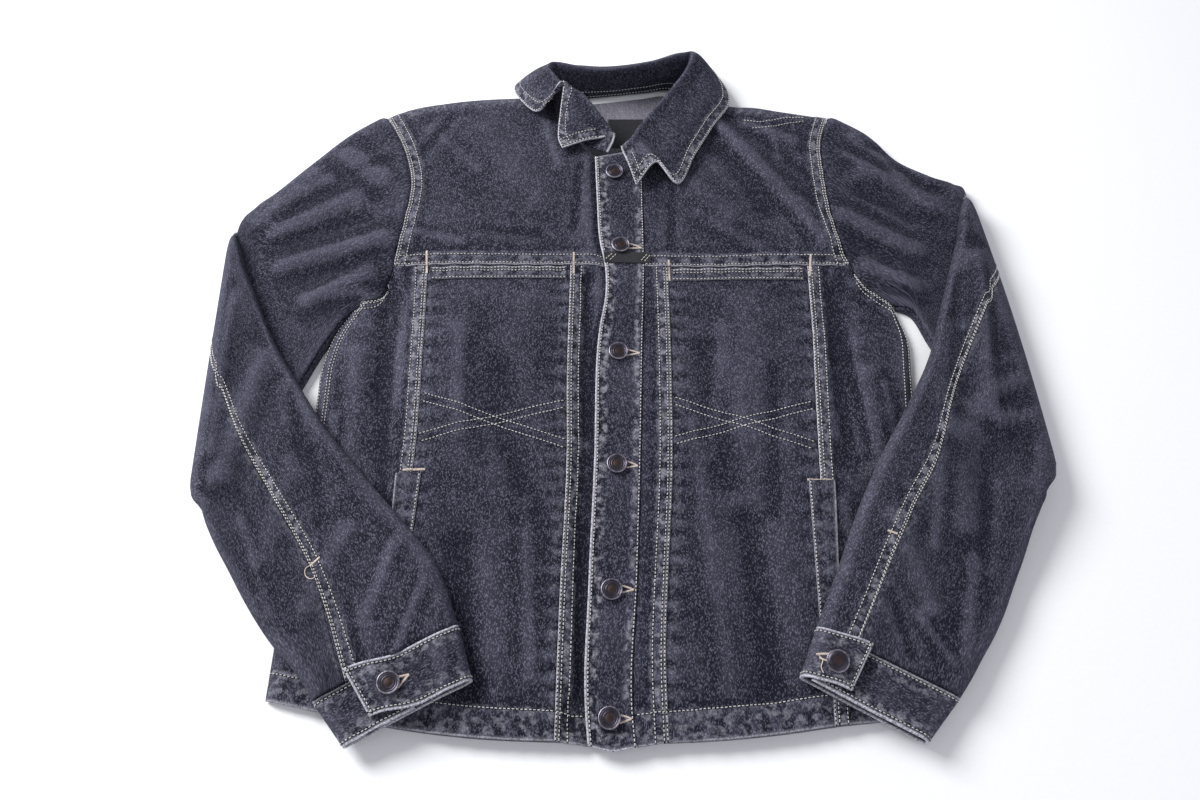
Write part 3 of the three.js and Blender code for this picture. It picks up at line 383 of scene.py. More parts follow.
def size(name):
    """A named size in millimetres."""
    return getattr(bpy.context.scene.jacket_sizes, name) / MM


def crease_depth():
    """How deep the small creases are, as a factor."""
    return bpy.context.scene.jacket_sizes.crease


def paint(name):
    """A named colour."""
    return tuple(getattr(bpy.context.scene.jacket_colours, name))


# Small arithmetic on arrays


def mix(a, b, t):
    return a + (b - a) * t


def smooth(t):
    s = np.clip(t, 0, 1)
    return s * s * (3 - 2 * s)


def quarter(t):
    s = 1 - np.clip(t, 0, 1)
    return np.sqrt(np.maximum(0, 1 - s * s))


def unit(vectors):
    """Vectors of length 1 in the same directions."""
    return vectors / np.maximum(np.linalg.norm(vectors, axis=-1, keepdims=True), 1e-9)


def smooth_line(points):
    """A smooth line through points, by chord length, as a function of 0 to 1."""
    points = np.asarray(points, float)
    chords = np.linalg.norm(np.diff(points, axis=0), axis=1)
    at = np.concatenate([[0], np.cumsum(chords)])
    rate = np.diff(points, axis=0) / chords[:, None]
    slope = np.empty_like(points)
    slope[0], slope[-1] = rate[0], rate[-1]
    before, after = chords[:-1, None], chords[1:, None]
    slope[1:-1] = (rate[:-1] * after + rate[1:] * before) / (before + after)

    def line(t):
        s = np.clip(np.asarray(t, float), 0, 1) * at[-1]
        i = np.clip(np.searchsorted(at, s) - 1, 0, len(at) - 2)
        step = (at[i + 1] - at[i])[..., None]
        f = (s - at[i])[..., None] / step
        value, after_it = points[i], points[i + 1]
        rise = 3 * (after_it - value) - step * (2 * slope[i] + slope[i + 1])
        turn = step * (slope[i] + slope[i + 1]) - 2 * (after_it - value)
        return value + f * (step * slope[i] + f * (rise + f * turn))

    return line


LINE_STEPS = 48
curve = {name: smooth_line(points) for name, points in LINE.items()}
sampled = {name: line(np.linspace(0, 1, LINE_STEPS + 1)) for name, line in curve.items()}


def nearest(x, y, points):
    """Distance to a line of points, and how far along the line the nearest place lies."""
    best = np.full(np.shape(x), np.inf)
    along = np.zeros(np.shape(x))
    gone = 0.0
    for (x0, y0), (x1, y1) in zip(points[:-1], points[1:]):
        dx, dy = x1 - x0, y1 - y0
        span2 = dx * dx + dy * dy
        t = np.clip(((x - x0) * dx + (y - y0) * dy) / span2, 0, 1)
        away = np.hypot(x - x0 - t * dx, y - y0 - t * dy)
        nearer = away < best
        along = np.where(nearer, gone + t * math.sqrt(span2), along)
        best = np.where(nearer, away, best)
        gone += math.sqrt(span2)
    return best, along


def across(name, known, value):
    """Where an upright line stands at the height y, or a level line at x."""
    points = sampled[name]
    order = np.argsort(points[:, known])
    return np.interp(value, points[order, known], points[order, 1 - known])


def fold_height(folds, x, y):
    """Height of all the folds of a table at each point."""
    total = np.zeros(np.shape(x))
    for fold in folds:
        ends = [(fold["x0"], fold["y0"]), (fold["x1"], fold["y1"])]
        away, _ = nearest(x, y, ends)
        total = total + fold["height"] * np.exp(-((away / fold["width"]) ** 2))
    return total


FOLDED_EDGES = ["leftSide", "rightSide", "leftShoulder", "rightShoulder"]


def from_folded_edge(x, y):
    return np.min([nearest(x, y, sampled[name])[0] for name in FOLDED_EDGES], axis=0)


def smooth_front(x, y):
    """Height of the fronts' outer face, without their folds."""
    inside = from_folded_edge(x, y)
    rounded = ROUND_HEIGHT * quarter(inside / ROUND_WIDTH)
    risen = (CHEST_HEIGHT - ROUND_HEIGHT) * smooth(inside / RISE_WIDTH)
    above_hem = y - across("hem", 0, x)
    return (rounded + risen) * mix(HEM_SETTLE, 1, smooth(above_hem / HEM_REACH))


def past_turn(inside):
    """How fully folds stand, at a distance from the edges where the cloth turns under."""
    return smooth((inside - ROUND_WIDTH / 2) / ROUND_WIDTH)


def plain_front(x, y):
    """The fronts with their large folds."""
    return smooth_front(x, y) + fold_height(BODY_FOLDS, x, y) * past_turn(from_folded_edge(x, y))


# Felled seams: the line of the lap's edge, and the side that laps, -1 towards the left
LAPS = [("leftOuter", -1), ("leftInner", 1), ("rightInner", -1), ("rightOuter", 1)]
LAP_WIDTH = 11.4
HEM_WIDTH = 23.0


def lap(away, width=LAP_WIDTH):
    """Full at a lap's edge and over its width, gone beyond it and on the other side of the edge."""
    return np.where(away < -0.05, 0, 1 - smooth((away - width) / 2.5))


def seam_rise(x, y):
    """How far seams, laps and the hem stand above one layer of cloth, from 0 to 1."""
    above_yoke = y - across("yoke", 0, x)
    rise = lap(above_yoke, 13.5)
    for name, side in LAPS:
        beside = side * (x - across(name, 1, y))
        rise = np.maximum(rise, np.where(above_yoke < 0, lap(beside), 0))
    for name in ("leftArmhole", "rightArmhole"):
        rise = np.maximum(rise, lap(nearest(x, y, sampled[name])[0]))
    return np.maximum(rise, lap(y - across("hem", 0, x), HEM_WIDTH))


def pucker(x, y):
    """Small waves that the seams draw up in the cloth beside them."""
    total = np.zeros(np.shape(x))
    for name, wave in (("leftOuter", 17), ("leftInner", 15), ("rightInner", 16), ("rightOuter", 18),
                       ("yoke", 19), ("leftArmhole", 21), ("rightArmhole", 20), ("hem", 18)):
        away, along = nearest(x, y, sampled[name])
        beat = np.sin(2 * math.pi * along / wave + 1.7 * np.sin(along / 31))
        total = total + 0.42 * beat * np.exp(-((away / 13) ** 2))
    return total


def front(x, y):
    """The fronts' outer face with folds, creases and seams."""
    inside = from_folded_edge(x, y)
    small = (fold_height(BODY_CREASES, x, y) + pucker(x, y)) * crease_depth()
    lay = smooth_front(x, y) + (fold_height(BODY_FOLDS, x, y) + small) * past_turn(inside)
    return np.maximum(lay + size("seam_rise") * seam_rise(x, y) * smooth(inside / 3), EDGE_LEVEL)


def left_front(x, y):
    """The left front dips where it runs under the placket."""
    past = x - across("placketEdge", 1, y) + TUCK_WIDTH
    return front(x, y) - (TUCK_DEPTH + size("seam_rise")) * smooth(past / TUCK_WIDTH)


# Waves of the placket, drawn up by its two rows and by the buttonholes: place, half length and height
PLACKET_WAVES = table("y half height", [
    [222, 16, 0.9], [190, 14, -0.8], [112, 15, 0.9], [84, 13, -0.7], [8, 18, 0.8], [-34, 14, -0.8],
    [-98, 16, 0.8], [-140, 18, -0.7], [-204, 15, 0.9], [-236, 13, -0.8],
])


def placket_face(x, y):
    """The placket bridges the trough beside its edge, and curls up a little along it."""
    wave = sum(row["height"] * np.exp(-(((y - row["y"]) / row["half"]) ** 2)) for row in PLACKET_WAVES)
    left = x - across("placketEdge", 1, y)
    right = across("placketStitch", 1, y) - x
    curl = 0.9 * np.exp(-((left / 3.5) ** 2)) + 0.3 * np.exp(-(((right - 5) / 3) ** 2))
    ripple = 0.28 * np.sin(2 * math.pi * y / 17 + 1.4 * np.sin(y / 29)) * np.exp(-((left / 9) ** 2))
    middle = smooth(left / 6) * smooth(right / 6)
    return smooth_front(x, y) + 0.6 + curl + ripple + 0.55 * wave * middle


def inside_body(x, y):
    outline = np.concatenate([sampled["hem"], sampled["rightSide"], sampled["leftSide"][::-1]])
    inside = np.zeros(np.shape(x), bool)
    for (xi, yi), (xj, yj) in zip(outline, np.roll(outline, 1, axis=0)):
        if yi == yj:
            continue
        crosses = (yi > y) != (yj > y)
        inside ^= crosses & (x < (xj - xi) * (y - yi) / (yj - yi) + xi)
    return inside


HEM_SLIDE = 26.0


def rest_height(x, y):
    """What a forearm lies on: the front's face, or the table outside it, sliding off past the hem."""
    hem_y = across("hem", 0, x)
    on_body = inside_body(x, np.maximum(y, hem_y + 0.5))
    below = np.maximum(0, hem_y + 0.5 - y)
    return np.where(on_body, plain_front(x, np.maximum(y, hem_y + 0.5)) * (1 - smooth(below / HEM_SLIDE)), 0)


# Grids of points, and walls made from them


def steps(count, length_mm=None):
    """Even steps from 0 to 1, with two more close to each end where an edge is worn."""
    even = np.linspace(0, 1, count + 1)
    if length_mm is None:
        return even
    near = np.array([0.9, 1.9]) / length_mm
    return np.concatenate([[0], near, even[1:-1], 1 - near[::-1], [1]])


def cells(length_mm):
    """Steps over a length, about one mesh cell apart."""
    return steps(max(3, round(length_mm / size("cell"))), length_mm)


def ended_at(line, start, end):
    """The same line with its ends moved to two given points."""
    first, last = line(0.0), line(1.0)
    return lambda t: line(t) + np.multiply.outer(1 - t, start - first) + np.multiply.outer(t, end - last)


def plan_grid(left, right, bottom, top, us, vs):
    """Plan of a panel between four lines, drawn in at its seams."""
    low = ended_at(bottom, left(0.0), right(0.0))
    high = ended_at(top, left(1.0), right(1.0))
    u, v = us[:, None, None], vs[None, :, None]
    corners = mix(mix(low(0.0), low(1.0), u), mix(high(0.0), high(1.0), u), v)
    grid = mix(low(us)[:, None], high(us)[:, None], v) + mix(left(vs)[None], right(vs)[None], u) - corners
    for edge, inner in (((0,), (1,)), ((-1,), (-2,))):
        for at, to in ((edge, inner), ((slice(None),) + edge, (slice(None),) + inner)):
            step = grid[to] - grid[at]
            grid[at] += unit(step) * SEAM_GAP / 2
    return grid


def raised(plan, height):
    """A plan with a height for each point."""
    x, y = plan[..., 0], plan[..., 1]
    return np.stack([x, y, height(x, y)], -1)


def normals_of(grid):
    """Unit normals of a grid of points, towards u cross v."""
    along_u, along_v = np.gradient(grid, axis=0), np.gradient(grid, axis=1)
    return unit(np.cross(along_u, along_v))


def offset_face(grid, thickness):
    """The face a wall's thickness inside a grid, never below the table."""
    moved = grid - normals_of(grid) * thickness
    moved[..., 2] = np.maximum(moved[..., 2], 0)
    return moved


def arcs(grid):
    """Distances from each of the four borders of a grid, along its rows and columns."""
    step_u = np.linalg.norm(np.diff(grid, axis=0), axis=-1)
    step_v = np.linalg.norm(np.diff(grid, axis=1), axis=-1)
    from_left = np.concatenate([np.zeros((1, grid.shape[1])), np.cumsum(step_u, 0)])
    from_bottom = np.concatenate([np.zeros((grid.shape[0], 1)), np.cumsum(step_v, 1)], 1)
    return {
        "left": from_left,
        "right": from_left[-1:] - from_left,
        "bottom": from_bottom,
        "top": from_bottom[:, -1:] - from_bottom,
    }


def cut_size(grid):
    """Width, length and area of the flat piece that a grid is made from, in metres."""
    away = arcs(grid)
    a, b, c = grid[1:, :-1] - grid[:-1, :-1], grid[:-1, 1:] - grid[:-1, :-1], grid[1:, 1:]
    halves = np.cross(a, b), np.cross(c - grid[1:, :-1], c - grid[:-1, 1:])
    area = sum(np.linalg.norm(half, axis=-1).sum() / 2 for half in halves)
    wide, long = away["left"][-1].max(), away["bottom"][:, -1].max()
    return wide * MM, long * MM, area * MM * MM


def wear_of(grid, edges, laps, base=0.0):
    """Rubbing for each point. edges gives the strength on each border, laps the reach of the roping."""
    away = arcs(grid)
    edge = np.zeros(grid.shape[:2])
    rope = np.full(grid.shape[:2], float(base))
    for side, strength in edges.items():
        edge = np.maximum(edge, strength * (1 - smooth((away[side] - 0.9) / 1.2)))
    for side, (reach, strength) in laps.items():
        rope = np.maximum(rope, strength * smooth(away[side] / 2) * (1 - smooth((away[side] - reach) / 3)))
    return edge, rope


def crest_of(outer, inner):
    """Where the outer face stands out from the cloth around it, from -1 in hollows to 1 on crests. The denim
    is painted paler on crests, where washing fades raised cloth, and darker in hollows as painted shade.
    """
    soft = outer.copy()
    for _ in range(5):
        padded = np.pad(soft, ((1, 1), (1, 1), (0, 0)), mode="reflect", reflect_type="odd")
        sides = padded[:-2, 1:-1] + padded[2:, 1:-1] + padded[1:-1, :-2] + padded[1:-1, 2:]
        soft = mix(soft, sides / 4, 0.8)
    return np.clip(((outer - soft) * unit(outer - inner)).sum(-1) / 0.45, -1, 1)


def make_mesh(name, points, faces, materials, slots=None, uv=None, values=None):
    """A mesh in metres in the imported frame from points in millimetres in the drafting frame."""
    mesh = bpy.data.meshes.new(name)
    mesh.from_pydata((points * MM + SHIFT).tolist(), [], faces)
    mesh.polygons.foreach_set("use_smooth", np.ones(len(faces), bool))
    for finish in materials:
        mesh.materials.append(finish)
    if slots is not None:
        mesh.polygons.foreach_set("material_index", slots)
    if uv is not None:
        corner = np.empty(len(mesh.loops), np.int32)
        mesh.loops.foreach_get("vertex_index", corner)
        mesh.uv_layers.new(name="grain").uv.foreach_set("vector", (uv[corner] * MM).ravel())
    for key, value in (values or {}).items():
        mesh.attributes.new(key, "FLOAT", "POINT").data.foreach_set("value", np.asarray(value, float).ravel())
    mesh.update()
    piece = bpy.data.objects.new(name, mesh)
    bpy.context.scene.collection.objects.link(piece)
    return piece


def rides(piece):
    """Rides on the jacket's one body."""
    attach(piece, "root")
    return piece


def wall(name, outer, inner, materials, uv, wear_and_shade):
    """A closed wall of cloth between two grids, with its wear and its painted shade for each point."""
    wide, long = outer.shape[:2]
    count = wide * long
    index = np.arange(count).reshape(wide, long)
    quads = np.stack([index[:-1, :-1], index[1:, :-1], index[1:, 1:], index[:-1, 1:]], -1).reshape(-1, 4)
    under = quads[:, ::-1] + count
    border = np.concatenate([index[:, 0], index[-1, 1:], index[-2::-1, -1], index[0, -2:0:-1]])
    after = np.roll(border, -1)
    rim = np.stack([after, border, border + count, after + count], -1)
    faces = np.concatenate([quads, under, rim])
    points = np.concatenate([outer.reshape(-1, 3), inner.reshape(-1, 3)])
    a, b, c, d = (points[faces[:, k]] for k in range(4))
    volume = (np.cross(a, b) * c).sum() + (np.cross(a, c) * d).sum()
    if volume < 0:
        faces = faces[:, ::-1]
    slots = np.concatenate([np.zeros(len(quads)), np.ones(len(under)), np.zeros(len(rim))]).astype(np.int32)
    both = lambda value: np.concatenate([value.ravel(), value.ravel()])
    doubled_uv = np.concatenate([uv.reshape(-1, 2), uv.reshape(-1, 2)])
    values = {key: both(value) for key, value in wear_and_shade.items()}
    return make_mesh(name, points, faces.tolist(), materials, slots, doubled_uv, values)


def dress(node, outer, thickness, materials, inner=None,
          uv=None, edges=None, laps=None, base=0.0):
    """A cloth piece that stands for a node: a thin wall. Its cut is measured but not kept."""
    inner = offset_face(outer, thickness) if inner is None else inner
    uv = outer[..., :2] if uv is None else uv
    edge, rope = wear_of(outer, edges or {}, laps or {}, base)
    wear_and_shade = {"edge": edge, "rope": rope, "crest": crest_of(outer, inner)}
    piece = wall("cloth_" + node, outer, inner, materials, uv, wear_and_shade)
    rides(piece)
    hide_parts(node)
    wide, long, area = cut_size(outer)
    return piece


# Lines in plan, as functions of 0 to 1


def shifted(line, dx, dy=0.0):
    return lambda t: line(t) + np.array([dx, dy])


def straight(start, end):
    return smooth_line([start, end])


def place_at(line, y):
    """Place along an upright line where it reaches a height."""
    t = np.linspace(0, 1, 1601)
    return float(np.interp(y, line(t)[:, 1], t))


def stretch(name, start, end):
    """Part of an upright line between two heights, as a line of its own."""
    line = curve[name]
    first, last = place_at(line, start), place_at(line, end)
    return lambda t: line(mix(first, last, np.asarray(t)))


def yoke_crossing(name):
    """Where an upright line meets the chest seam."""
    y = LINE["yoke"][0][1]
    for _ in range(8):
        y = float(across("yoke", 0, curve[name](place_at(curve[name], y))[0]))
    return y


def yoke_x(name):
    return float(curve[name](place_at(curve[name], yoke_crossing(name)))[0])


def up_to_yoke(name):
    return stretch(name, LINE[name][0][1], yoke_crossing(name))


def span(name, start, end):
    """Part of a level line between two values of x."""

    def line(t):
        x = mix(start, end, np.asarray(t, float))
        return np.stack([x, across(name, 0, x)], -1)

    return line


def joined(*parts):
    points = np.concatenate([part(np.linspace(0, 1, 15)) for part in parts])
    apart = np.linalg.norm(np.diff(points, axis=0), axis=1) > 0.5
    return smooth_line(points[np.concatenate([[True], apart])])


def plan_of(left, right, bottom, top):
    """A panel's plan at the size of the cloth's mesh cells."""
    t = np.linspace(0, 1, 40)
    measure = lambda line: np.linalg.norm(np.diff(line(t), axis=0), axis=1).sum()
    wide = max(measure(bottom), measure(top))
    long = max(measure(left), measure(right))
    return plan_grid(left, right, bottom, top, cells(wide), cells(long))


def front_panels():
    """Plans and heights of the pieces of both fronts, by node."""
    strip_edge = shifted(up_to_yoke("placketEdge"), UNDER_PLACKET)
    stitch_below = up_to_yoke("placketStitch")
    left_yoke_front = joined(
        shifted(stretch("placketEdge", yoke_crossing("placketEdge"), 252), UNDER_PLACKET), curve["leftNeck"]
    )
    right_yoke_front = joined(
        stretch("placketStitch", yoke_crossing("placketStitch"), 268), curve["rightNeck"]
    )
    return {
        "side_front_left": (
            curve["leftSide"],
            up_to_yoke("leftOuter"),
            span("hem", -250, LINE["leftOuter"][0][0]),
            joined(
                stretch("leftArmhole", 94, yoke_crossing("leftArmhole")),
                span("yoke", yoke_x("leftArmhole"), yoke_x("leftOuter")),
            ),
            left_front,
        ),
        "side_front_right": (
            up_to_yoke("rightOuter"),
            curve["rightSide"],
            span("hem", LINE["rightOuter"][0][0], 241),
            joined(
                span("yoke", yoke_x("rightOuter"), yoke_x("rightArmhole")),
                stretch("rightArmhole", yoke_crossing("rightArmhole"), 90),
            ),
            front,
        ),
        "pocket_front_left": (
            up_to_yoke("leftOuter"),
            up_to_yoke("leftInner"),
            span("hem", LINE["leftOuter"][0][0], LINE["leftInner"][0][0]),
            span("yoke", yoke_x("leftOuter"), yoke_x("leftInner")),
            left_front,
        ),
        "pocket_front_right": (
            up_to_yoke("rightInner"),
            up_to_yoke("rightOuter"),
            span("hem", LINE["rightInner"][0][0], LINE["rightOuter"][0][0]),
            span("yoke", yoke_x("rightInner"), yoke_x("rightOuter")),
            front,
        ),
        "front_strip_left": (
            up_to_yoke("leftInner"),
            strip_edge,
            straight(curve["leftInner"](0.0), strip_edge(0.0)),
            span("yoke", yoke_x("leftInner"), strip_edge(1.0)[0]),
            left_front,
        ),
        "front_strip_right": (
            stitch_below,
            up_to_yoke("rightInner"),
            straight(stitch_below(0.0), curve["rightInner"](0.0)),
            span("yoke", yoke_x("placketStitch"), yoke_x("rightInner")),
            front,
        ),
        "front_yoke_left": (
            stretch("leftArmhole", yoke_crossing("leftArmhole"), 321),
            left_yoke_front,
            span("yoke", yoke_x("leftArmhole"), left_yoke_front(0.0)[0]),
            curve["leftShoulder"],
            left_front,
        ),
        "front_yoke_right": (
            right_yoke_front,
            stretch("rightArmhole", yoke_crossing("rightArmhole"), 321),
            span("yoke", right_yoke_front(0.0)[0], yoke_x("rightArmhole")),
            curve["rightShoulder"],
            front,
        ),
    }


# How each front piece is worn: rubbed borders with their strengths, and roped bands with their reach
FRONT_EDGES = {
    "side_front_left": {"right": 1.0, "bottom": 0.5},
    "side_front_right": {"left": 1.0, "bottom": 0.5},
    "pocket_front_left": {"bottom": 0.5},
    "pocket_front_right": {"bottom": 0.5},
    "front_strip_left": {"left": 1.0, "bottom": 0.5},
    "front_strip_right": {"right": 1.0, "bottom": 0.5},
    "front_yoke_left": {"bottom": 0.5, "left": 0.55, "right": 0.3},
    "front_yoke_right": {"bottom": 0.5, "right": 0.55},
}
FRONT_ROPING = {
    "side_front_left": {"right": (10.5, 0.8), "bottom": (22, 0.55)},
    "side_front_right": {"left": (10.5, 0.8), "bottom": (22, 0.55)},
    "pocket_front_left": {"left": (6, 0.25), "right": (6, 0.25), "bottom": (22, 0.55), "top": (8, 0.3)},
    "pocket_front_right": {"left": (6, 0.25), "right": (6, 0.25), "bottom": (22, 0.55), "top": (8, 0.3)},
    "front_strip_left": {"left": (10.5, 0.8), "bottom": (22, 0.55)},
    "front_strip_right": {"right": (10.5, 0.8), "bottom": (22, 0.55)},
    "front_yoke_left": {"bottom": (12, 0.4), "left": (10.5, 0.6), "top": (14, 0.3)},
    "front_yoke_right": {"bottom": (12, 0.4), "right": (10.5, 0.6), "top": (14, 0.3)},
}

# Outer faces of the pieces that carry stitching, kept by node
FACES = {}


def placket_plan():
    return plan_of(
        curve["placketEdge"],
        curve["placketStitch"],
        smooth_line([[-9, -289], [8, -293], [27, -290]]),
        smooth_line([[-5, 259], [6, 262], [41, 268]]),
    )


def strip_plan(corners):
    """Plan of a strip between four corners."""
    low_left, low_right, high_right, high_left = corners
    return plan_of(
        straight(low_left, high_left), straight(low_right, high_right), straight(low_left, low_right),
        straight(high_left, high_right)
    )


# Bands and welts: corners, the cloth's height under them, and what they lie on
STRIPS = {
    "pocket_band_left": ([[-154, 116], [-30, 116], [-30, 129], [-155, 129]], left_front, "pocket_front_left"),
    "pocket_band_right": ([[65, 113], [185, 115], [186, 127.5], [65, 126]], front, "pocket_front_right"),
    "hand_welt_left": (
        [[-168, -200], [-152, -200], [-146, -75], [-168, -75]], left_front, "pocket_front_left",
    ),
    "hand_welt_right": ([[167, -200], [184, -200], [192, -82], [170, -82]], front, "pocket_front_right"),
}


# Sleeves


def sleeve_stations(side):
    """The sleeve's sections at close stations: columns of numbers, and how far each is past the armhole."""
    rows = np.array(SLEEVE[side], float)
    shape = rows[:, [0, 1, 2, 3, 4, 5, 7]] * [1, 1, 1, 1, 1, 1, 100]
    chords = np.linalg.norm(np.diff(shape, axis=0), axis=1)
    knots = np.concatenate([[0], np.cumsum(chords)]) / chords.sum()
    stations = [np.array([0.0])]
    for k, chord in enumerate(chords):
        turning = rows[k, 6] != rows[k + 1, 6]
        count = 4 if turning else max(1, round(chord / (1.25 * size("cell"))))
        stations.append(np.linspace(knots[k], knots[k + 1], count + 1)[1:])
    t = np.concatenate(stations)
    values = smooth_line(shape)(t)
    turn = np.interp(t, knots, rows[:, 6])
    past = 1 - np.clip(t / knots[1], 0, 1)
    return {
        "a": values[:, :2], "b": values[:, 2:4], "za": values[:, 4], "zb": values[:, 5],
        "seam": values[:, 6] / 100, "turn": turn, "armhole": past,
    }


def sleeve_face(side, away, outer):
    """Points of a sleeve's face: away is the distance from edge a for each row and station."""
    s = sleeve_stations(side)
    width = np.linalg.norm(s["b"] - s["a"], axis=1)
    w = np.clip(away / width, 0, 1)
    from_edge = np.clip(np.minimum(away, width - away), 0, None)
    turn = s["turn"][None]
    inner = FOLD_RADIUS - SLEEVE_LOFT
    edge = mix(FOLD_RADIUS - EDGE_LEVEL, inner + EDGE_LEVEL, turn)
    outer_reach = np.where(turn < 0.5, mix(EDGE_LEVEL, 6, turn * 2), 10)
    inner_reach = np.where(turn < 0.5, 10, mix(EDGE_LEVEL, 6, 2 - turn * 2))
    outer_face = edge + (FOLD_RADIUS - edge) * quarter(from_edge / outer_reach)
    inner_face = edge - (edge - inner) * quarter(from_edge / inner_reach)
    flat = mix(s["a"][None], s["b"][None], w[..., None])
    sign = -1 if side == "left" else 1
    armhole = shifted(curve[side + "Armhole"], sign * ARMHOLE_GAP, ARMHOLE_GAP)
    first = mix(s["a"][0], s["b"][0], w[..., None])
    flat = flat + (armhole(1 - w) - first) * s["armhole"][None, :, None]
    x, y = flat[..., 0], flat[..., 1]
    at_body = np.minimum(FOLD_RADIUS - np.maximum(plain_front(x, y), 2 * EDGE_LEVEL), edge)
    inner_face = mix(inner_face, at_body, s["armhole"][None])
    fade = smooth(from_edge / 30)
    lying, above = smooth(1 - turn / 0.3), smooth((turn - 0.7) / 0.3)
    shallow = smooth(from_edge / 14) * crease_depth()
    upper = fold_height(UPPER_ARM_FOLDS, x, y) * fade + fold_height(UPPER_ARM_CREASES, x, y) * shallow
    inner_face = inner_face - upper * lying
    fore = fold_height(FOREARM_FOLDS, x, y) * fade
    outer_face = outer_face + fore * above
    centre = mix(s["za"][None], s["zb"][None], w)
    lift = np.maximum(0, rest_height(x, y) + SLEEVE_REST - centre - inner_face) * above
    inner_face, outer_face = inner_face + lift, outer_face + lift
    outer_face = outer_face + fold_height(FOREARM_CREASES, x, y) * shallow * above
    reach = np.where(outer, outer_face, inner_face)
    direction = np.stack([s["b"][:, 1] - s["a"][:, 1], s["a"][:, 0] - s["b"][:, 0]], -1) / width[:, None]
    direction = direction * np.where(np.sign(s["a"][:, :1]) * np.sign(direction[:, :1]) < 0, -1, 1)
    rounded = quarter(from_edge / ELBOW_ROUND)
    upper_end, lower_end, bow = ELBOW[side]
    full = reach * rounded * mix(upper_end, lower_end, w) + bow * np.sin(math.pi * w)
    sideways = full * np.sin(turn * math.pi)
    x = x + direction[None, :, 0] * sideways
    y = y + direction[None, :, 1] * sideways
    z = np.maximum(0, centre - reach * np.cos(turn * math.pi))
    return np.stack([x, y, z], -1)


def spaced(start, end, count):
    """Rows between two distances that vary from station to station, with two more near the first."""
    rows = start[None] + (end - start)[None] * np.linspace(0, 1, count + 1)[:, None]
    step = np.sign(end - start)[None]
    return np.concatenate([rows[:1], rows[:1] + 0.9 * step, rows[:1] + 1.9 * step, rows[1:]])


def sleeve_grids(side):
    """Grids of the two pieces of a sleeve, round the tube and along it."""
    s = sleeve_stations(side)
    width = np.linalg.norm(s["b"] - s["a"], axis=1)
    flat = np.zeros_like(width)[None]
    close = np.array([0.0, 0.25, 0.9, 1.9, 3.2, 5.0])[:, None] + flat
    wider = np.concatenate([close, np.array([[7.2], [10.0]]) + flat])
    seam, under = s["seam"] * width, UNDER_SEAM * width
    count = round(70 / size("cell"))
    top_outer = np.concatenate([spaced(seam - SEAM_GAP / 2, wider[-1], count)[:-1], wider[::-1]])
    top_inner = np.concatenate([wider[1:-1], spaced(under - UNDER_SEAM_GAP / 2, wider[-1], 2 * count)[::-1]])
    from_b = width - under - UNDER_SEAM_GAP / 2
    under_inner = width[None] - np.array([1, 0.7, 0.4, 0.2, 0.05, 0])[:, None] * from_b[None]
    far = width - seam - SEAM_GAP / 2
    under_outer = width[None] - np.concatenate([wider[1:-1], spaced(far, wider[-1], count)[::-1]])
    top = [sleeve_face(side, top_outer, True), sleeve_face(side, top_inner, False)]
    below = [sleeve_face(side, under_inner, False), sleeve_face(side, under_outer, True)]
    return {"top": np.concatenate(top), "under": np.concatenate(below)}


def facing(grid, middle):
    """1 where a grid's normals point away from the middle of the tube that it is part of, else -1."""
    return 1 if (normals_of(grid) * (grid - middle[None])).sum() > 0 else -1


# Cuffs


CUFF_WAVES = table("x0 y0 x1 y1 width height", [
    [-205, -262, -190, -290, 7, 0.9],
    [-168, -240, -150, -272, 8, 0.8],
    [-120, -222, -110, -250, 7, 0.9],
    [164, -226, 176, -262, 8, 0.9],
    [212, -236, 206, -276, 9, 0.9],
    [250, -256, 236, -282, 7, -0.8],
])


def cuff_end(cuff):
    """The sleeve's last section, where its cuff is sewn on."""
    last = dict(zip(SLEEVE_COLUMNS.split(), SLEEVE[cuff["name"]][-1]))
    return {**last, "za": last["za"] + 1.3, "zb": last["zb"] + 1.3}


def cuff_part(cuff, place, layer, v):
    """Points of one layer of a cuff, for places across it and steps along it."""
    end = cuff_end(cuff)
    place, v = np.asarray(place, float)[:, None], np.asarray(v, float)[None]
    ax, ay = mix(end["ax"], cuff["ax"], v), mix(end["ay"], cuff["ay"], v)
    bx, by = mix(end["bx"], cuff["bx"], v), mix(end["by"], cuff["by"], v)
    width = np.hypot(bx - ax, by - ay)
    reach = math.hypot(cuff["ax"] - end["ax"], cuff["ay"] - end["ay"])
    climb = smooth((place - cuff["tabEnd"] + 0.4) / 0.4) * (layer == "top")
    start = SEAM_GAP * (1 - v) - cuff["climb"] * climb
    x = mix(ax, bx, place) + (cuff["ax"] - end["ax"]) / reach * start
    y = mix(ay, by, place) + (cuff["ay"] - end["ay"]) / reach * start
    loft = mix(cuff["loft"], cuff["mouth"], v)
    from_edge = np.minimum(place, 1 - place) * width
    base = np.maximum(mix(end["za"], end["zb"], place) * (1 - v) + mix(cuff["za"], cuff["zb"], place) * v, 0)
    floor = np.maximum(base, rest_height(x, y) + SLEEVE_REST)
    drop = size("doubled") + LAY_GAP + 0.35
    rise = quarter(from_edge / 9)
    if layer == "low":
        height = mix(3.4, 0, quarter(from_edge / 5))
    elif layer == "under":
        height = mix(4, loft - drop, rise)
    else:
        wave = fold_height(CUFF_WAVES, x, y) * crease_depth()
        height = mix(4, loft, rise) + wave * smooth(from_edge / 20) + 2.6 * climb * (1 - v)
    return np.stack([x, y, floor + height], -1)


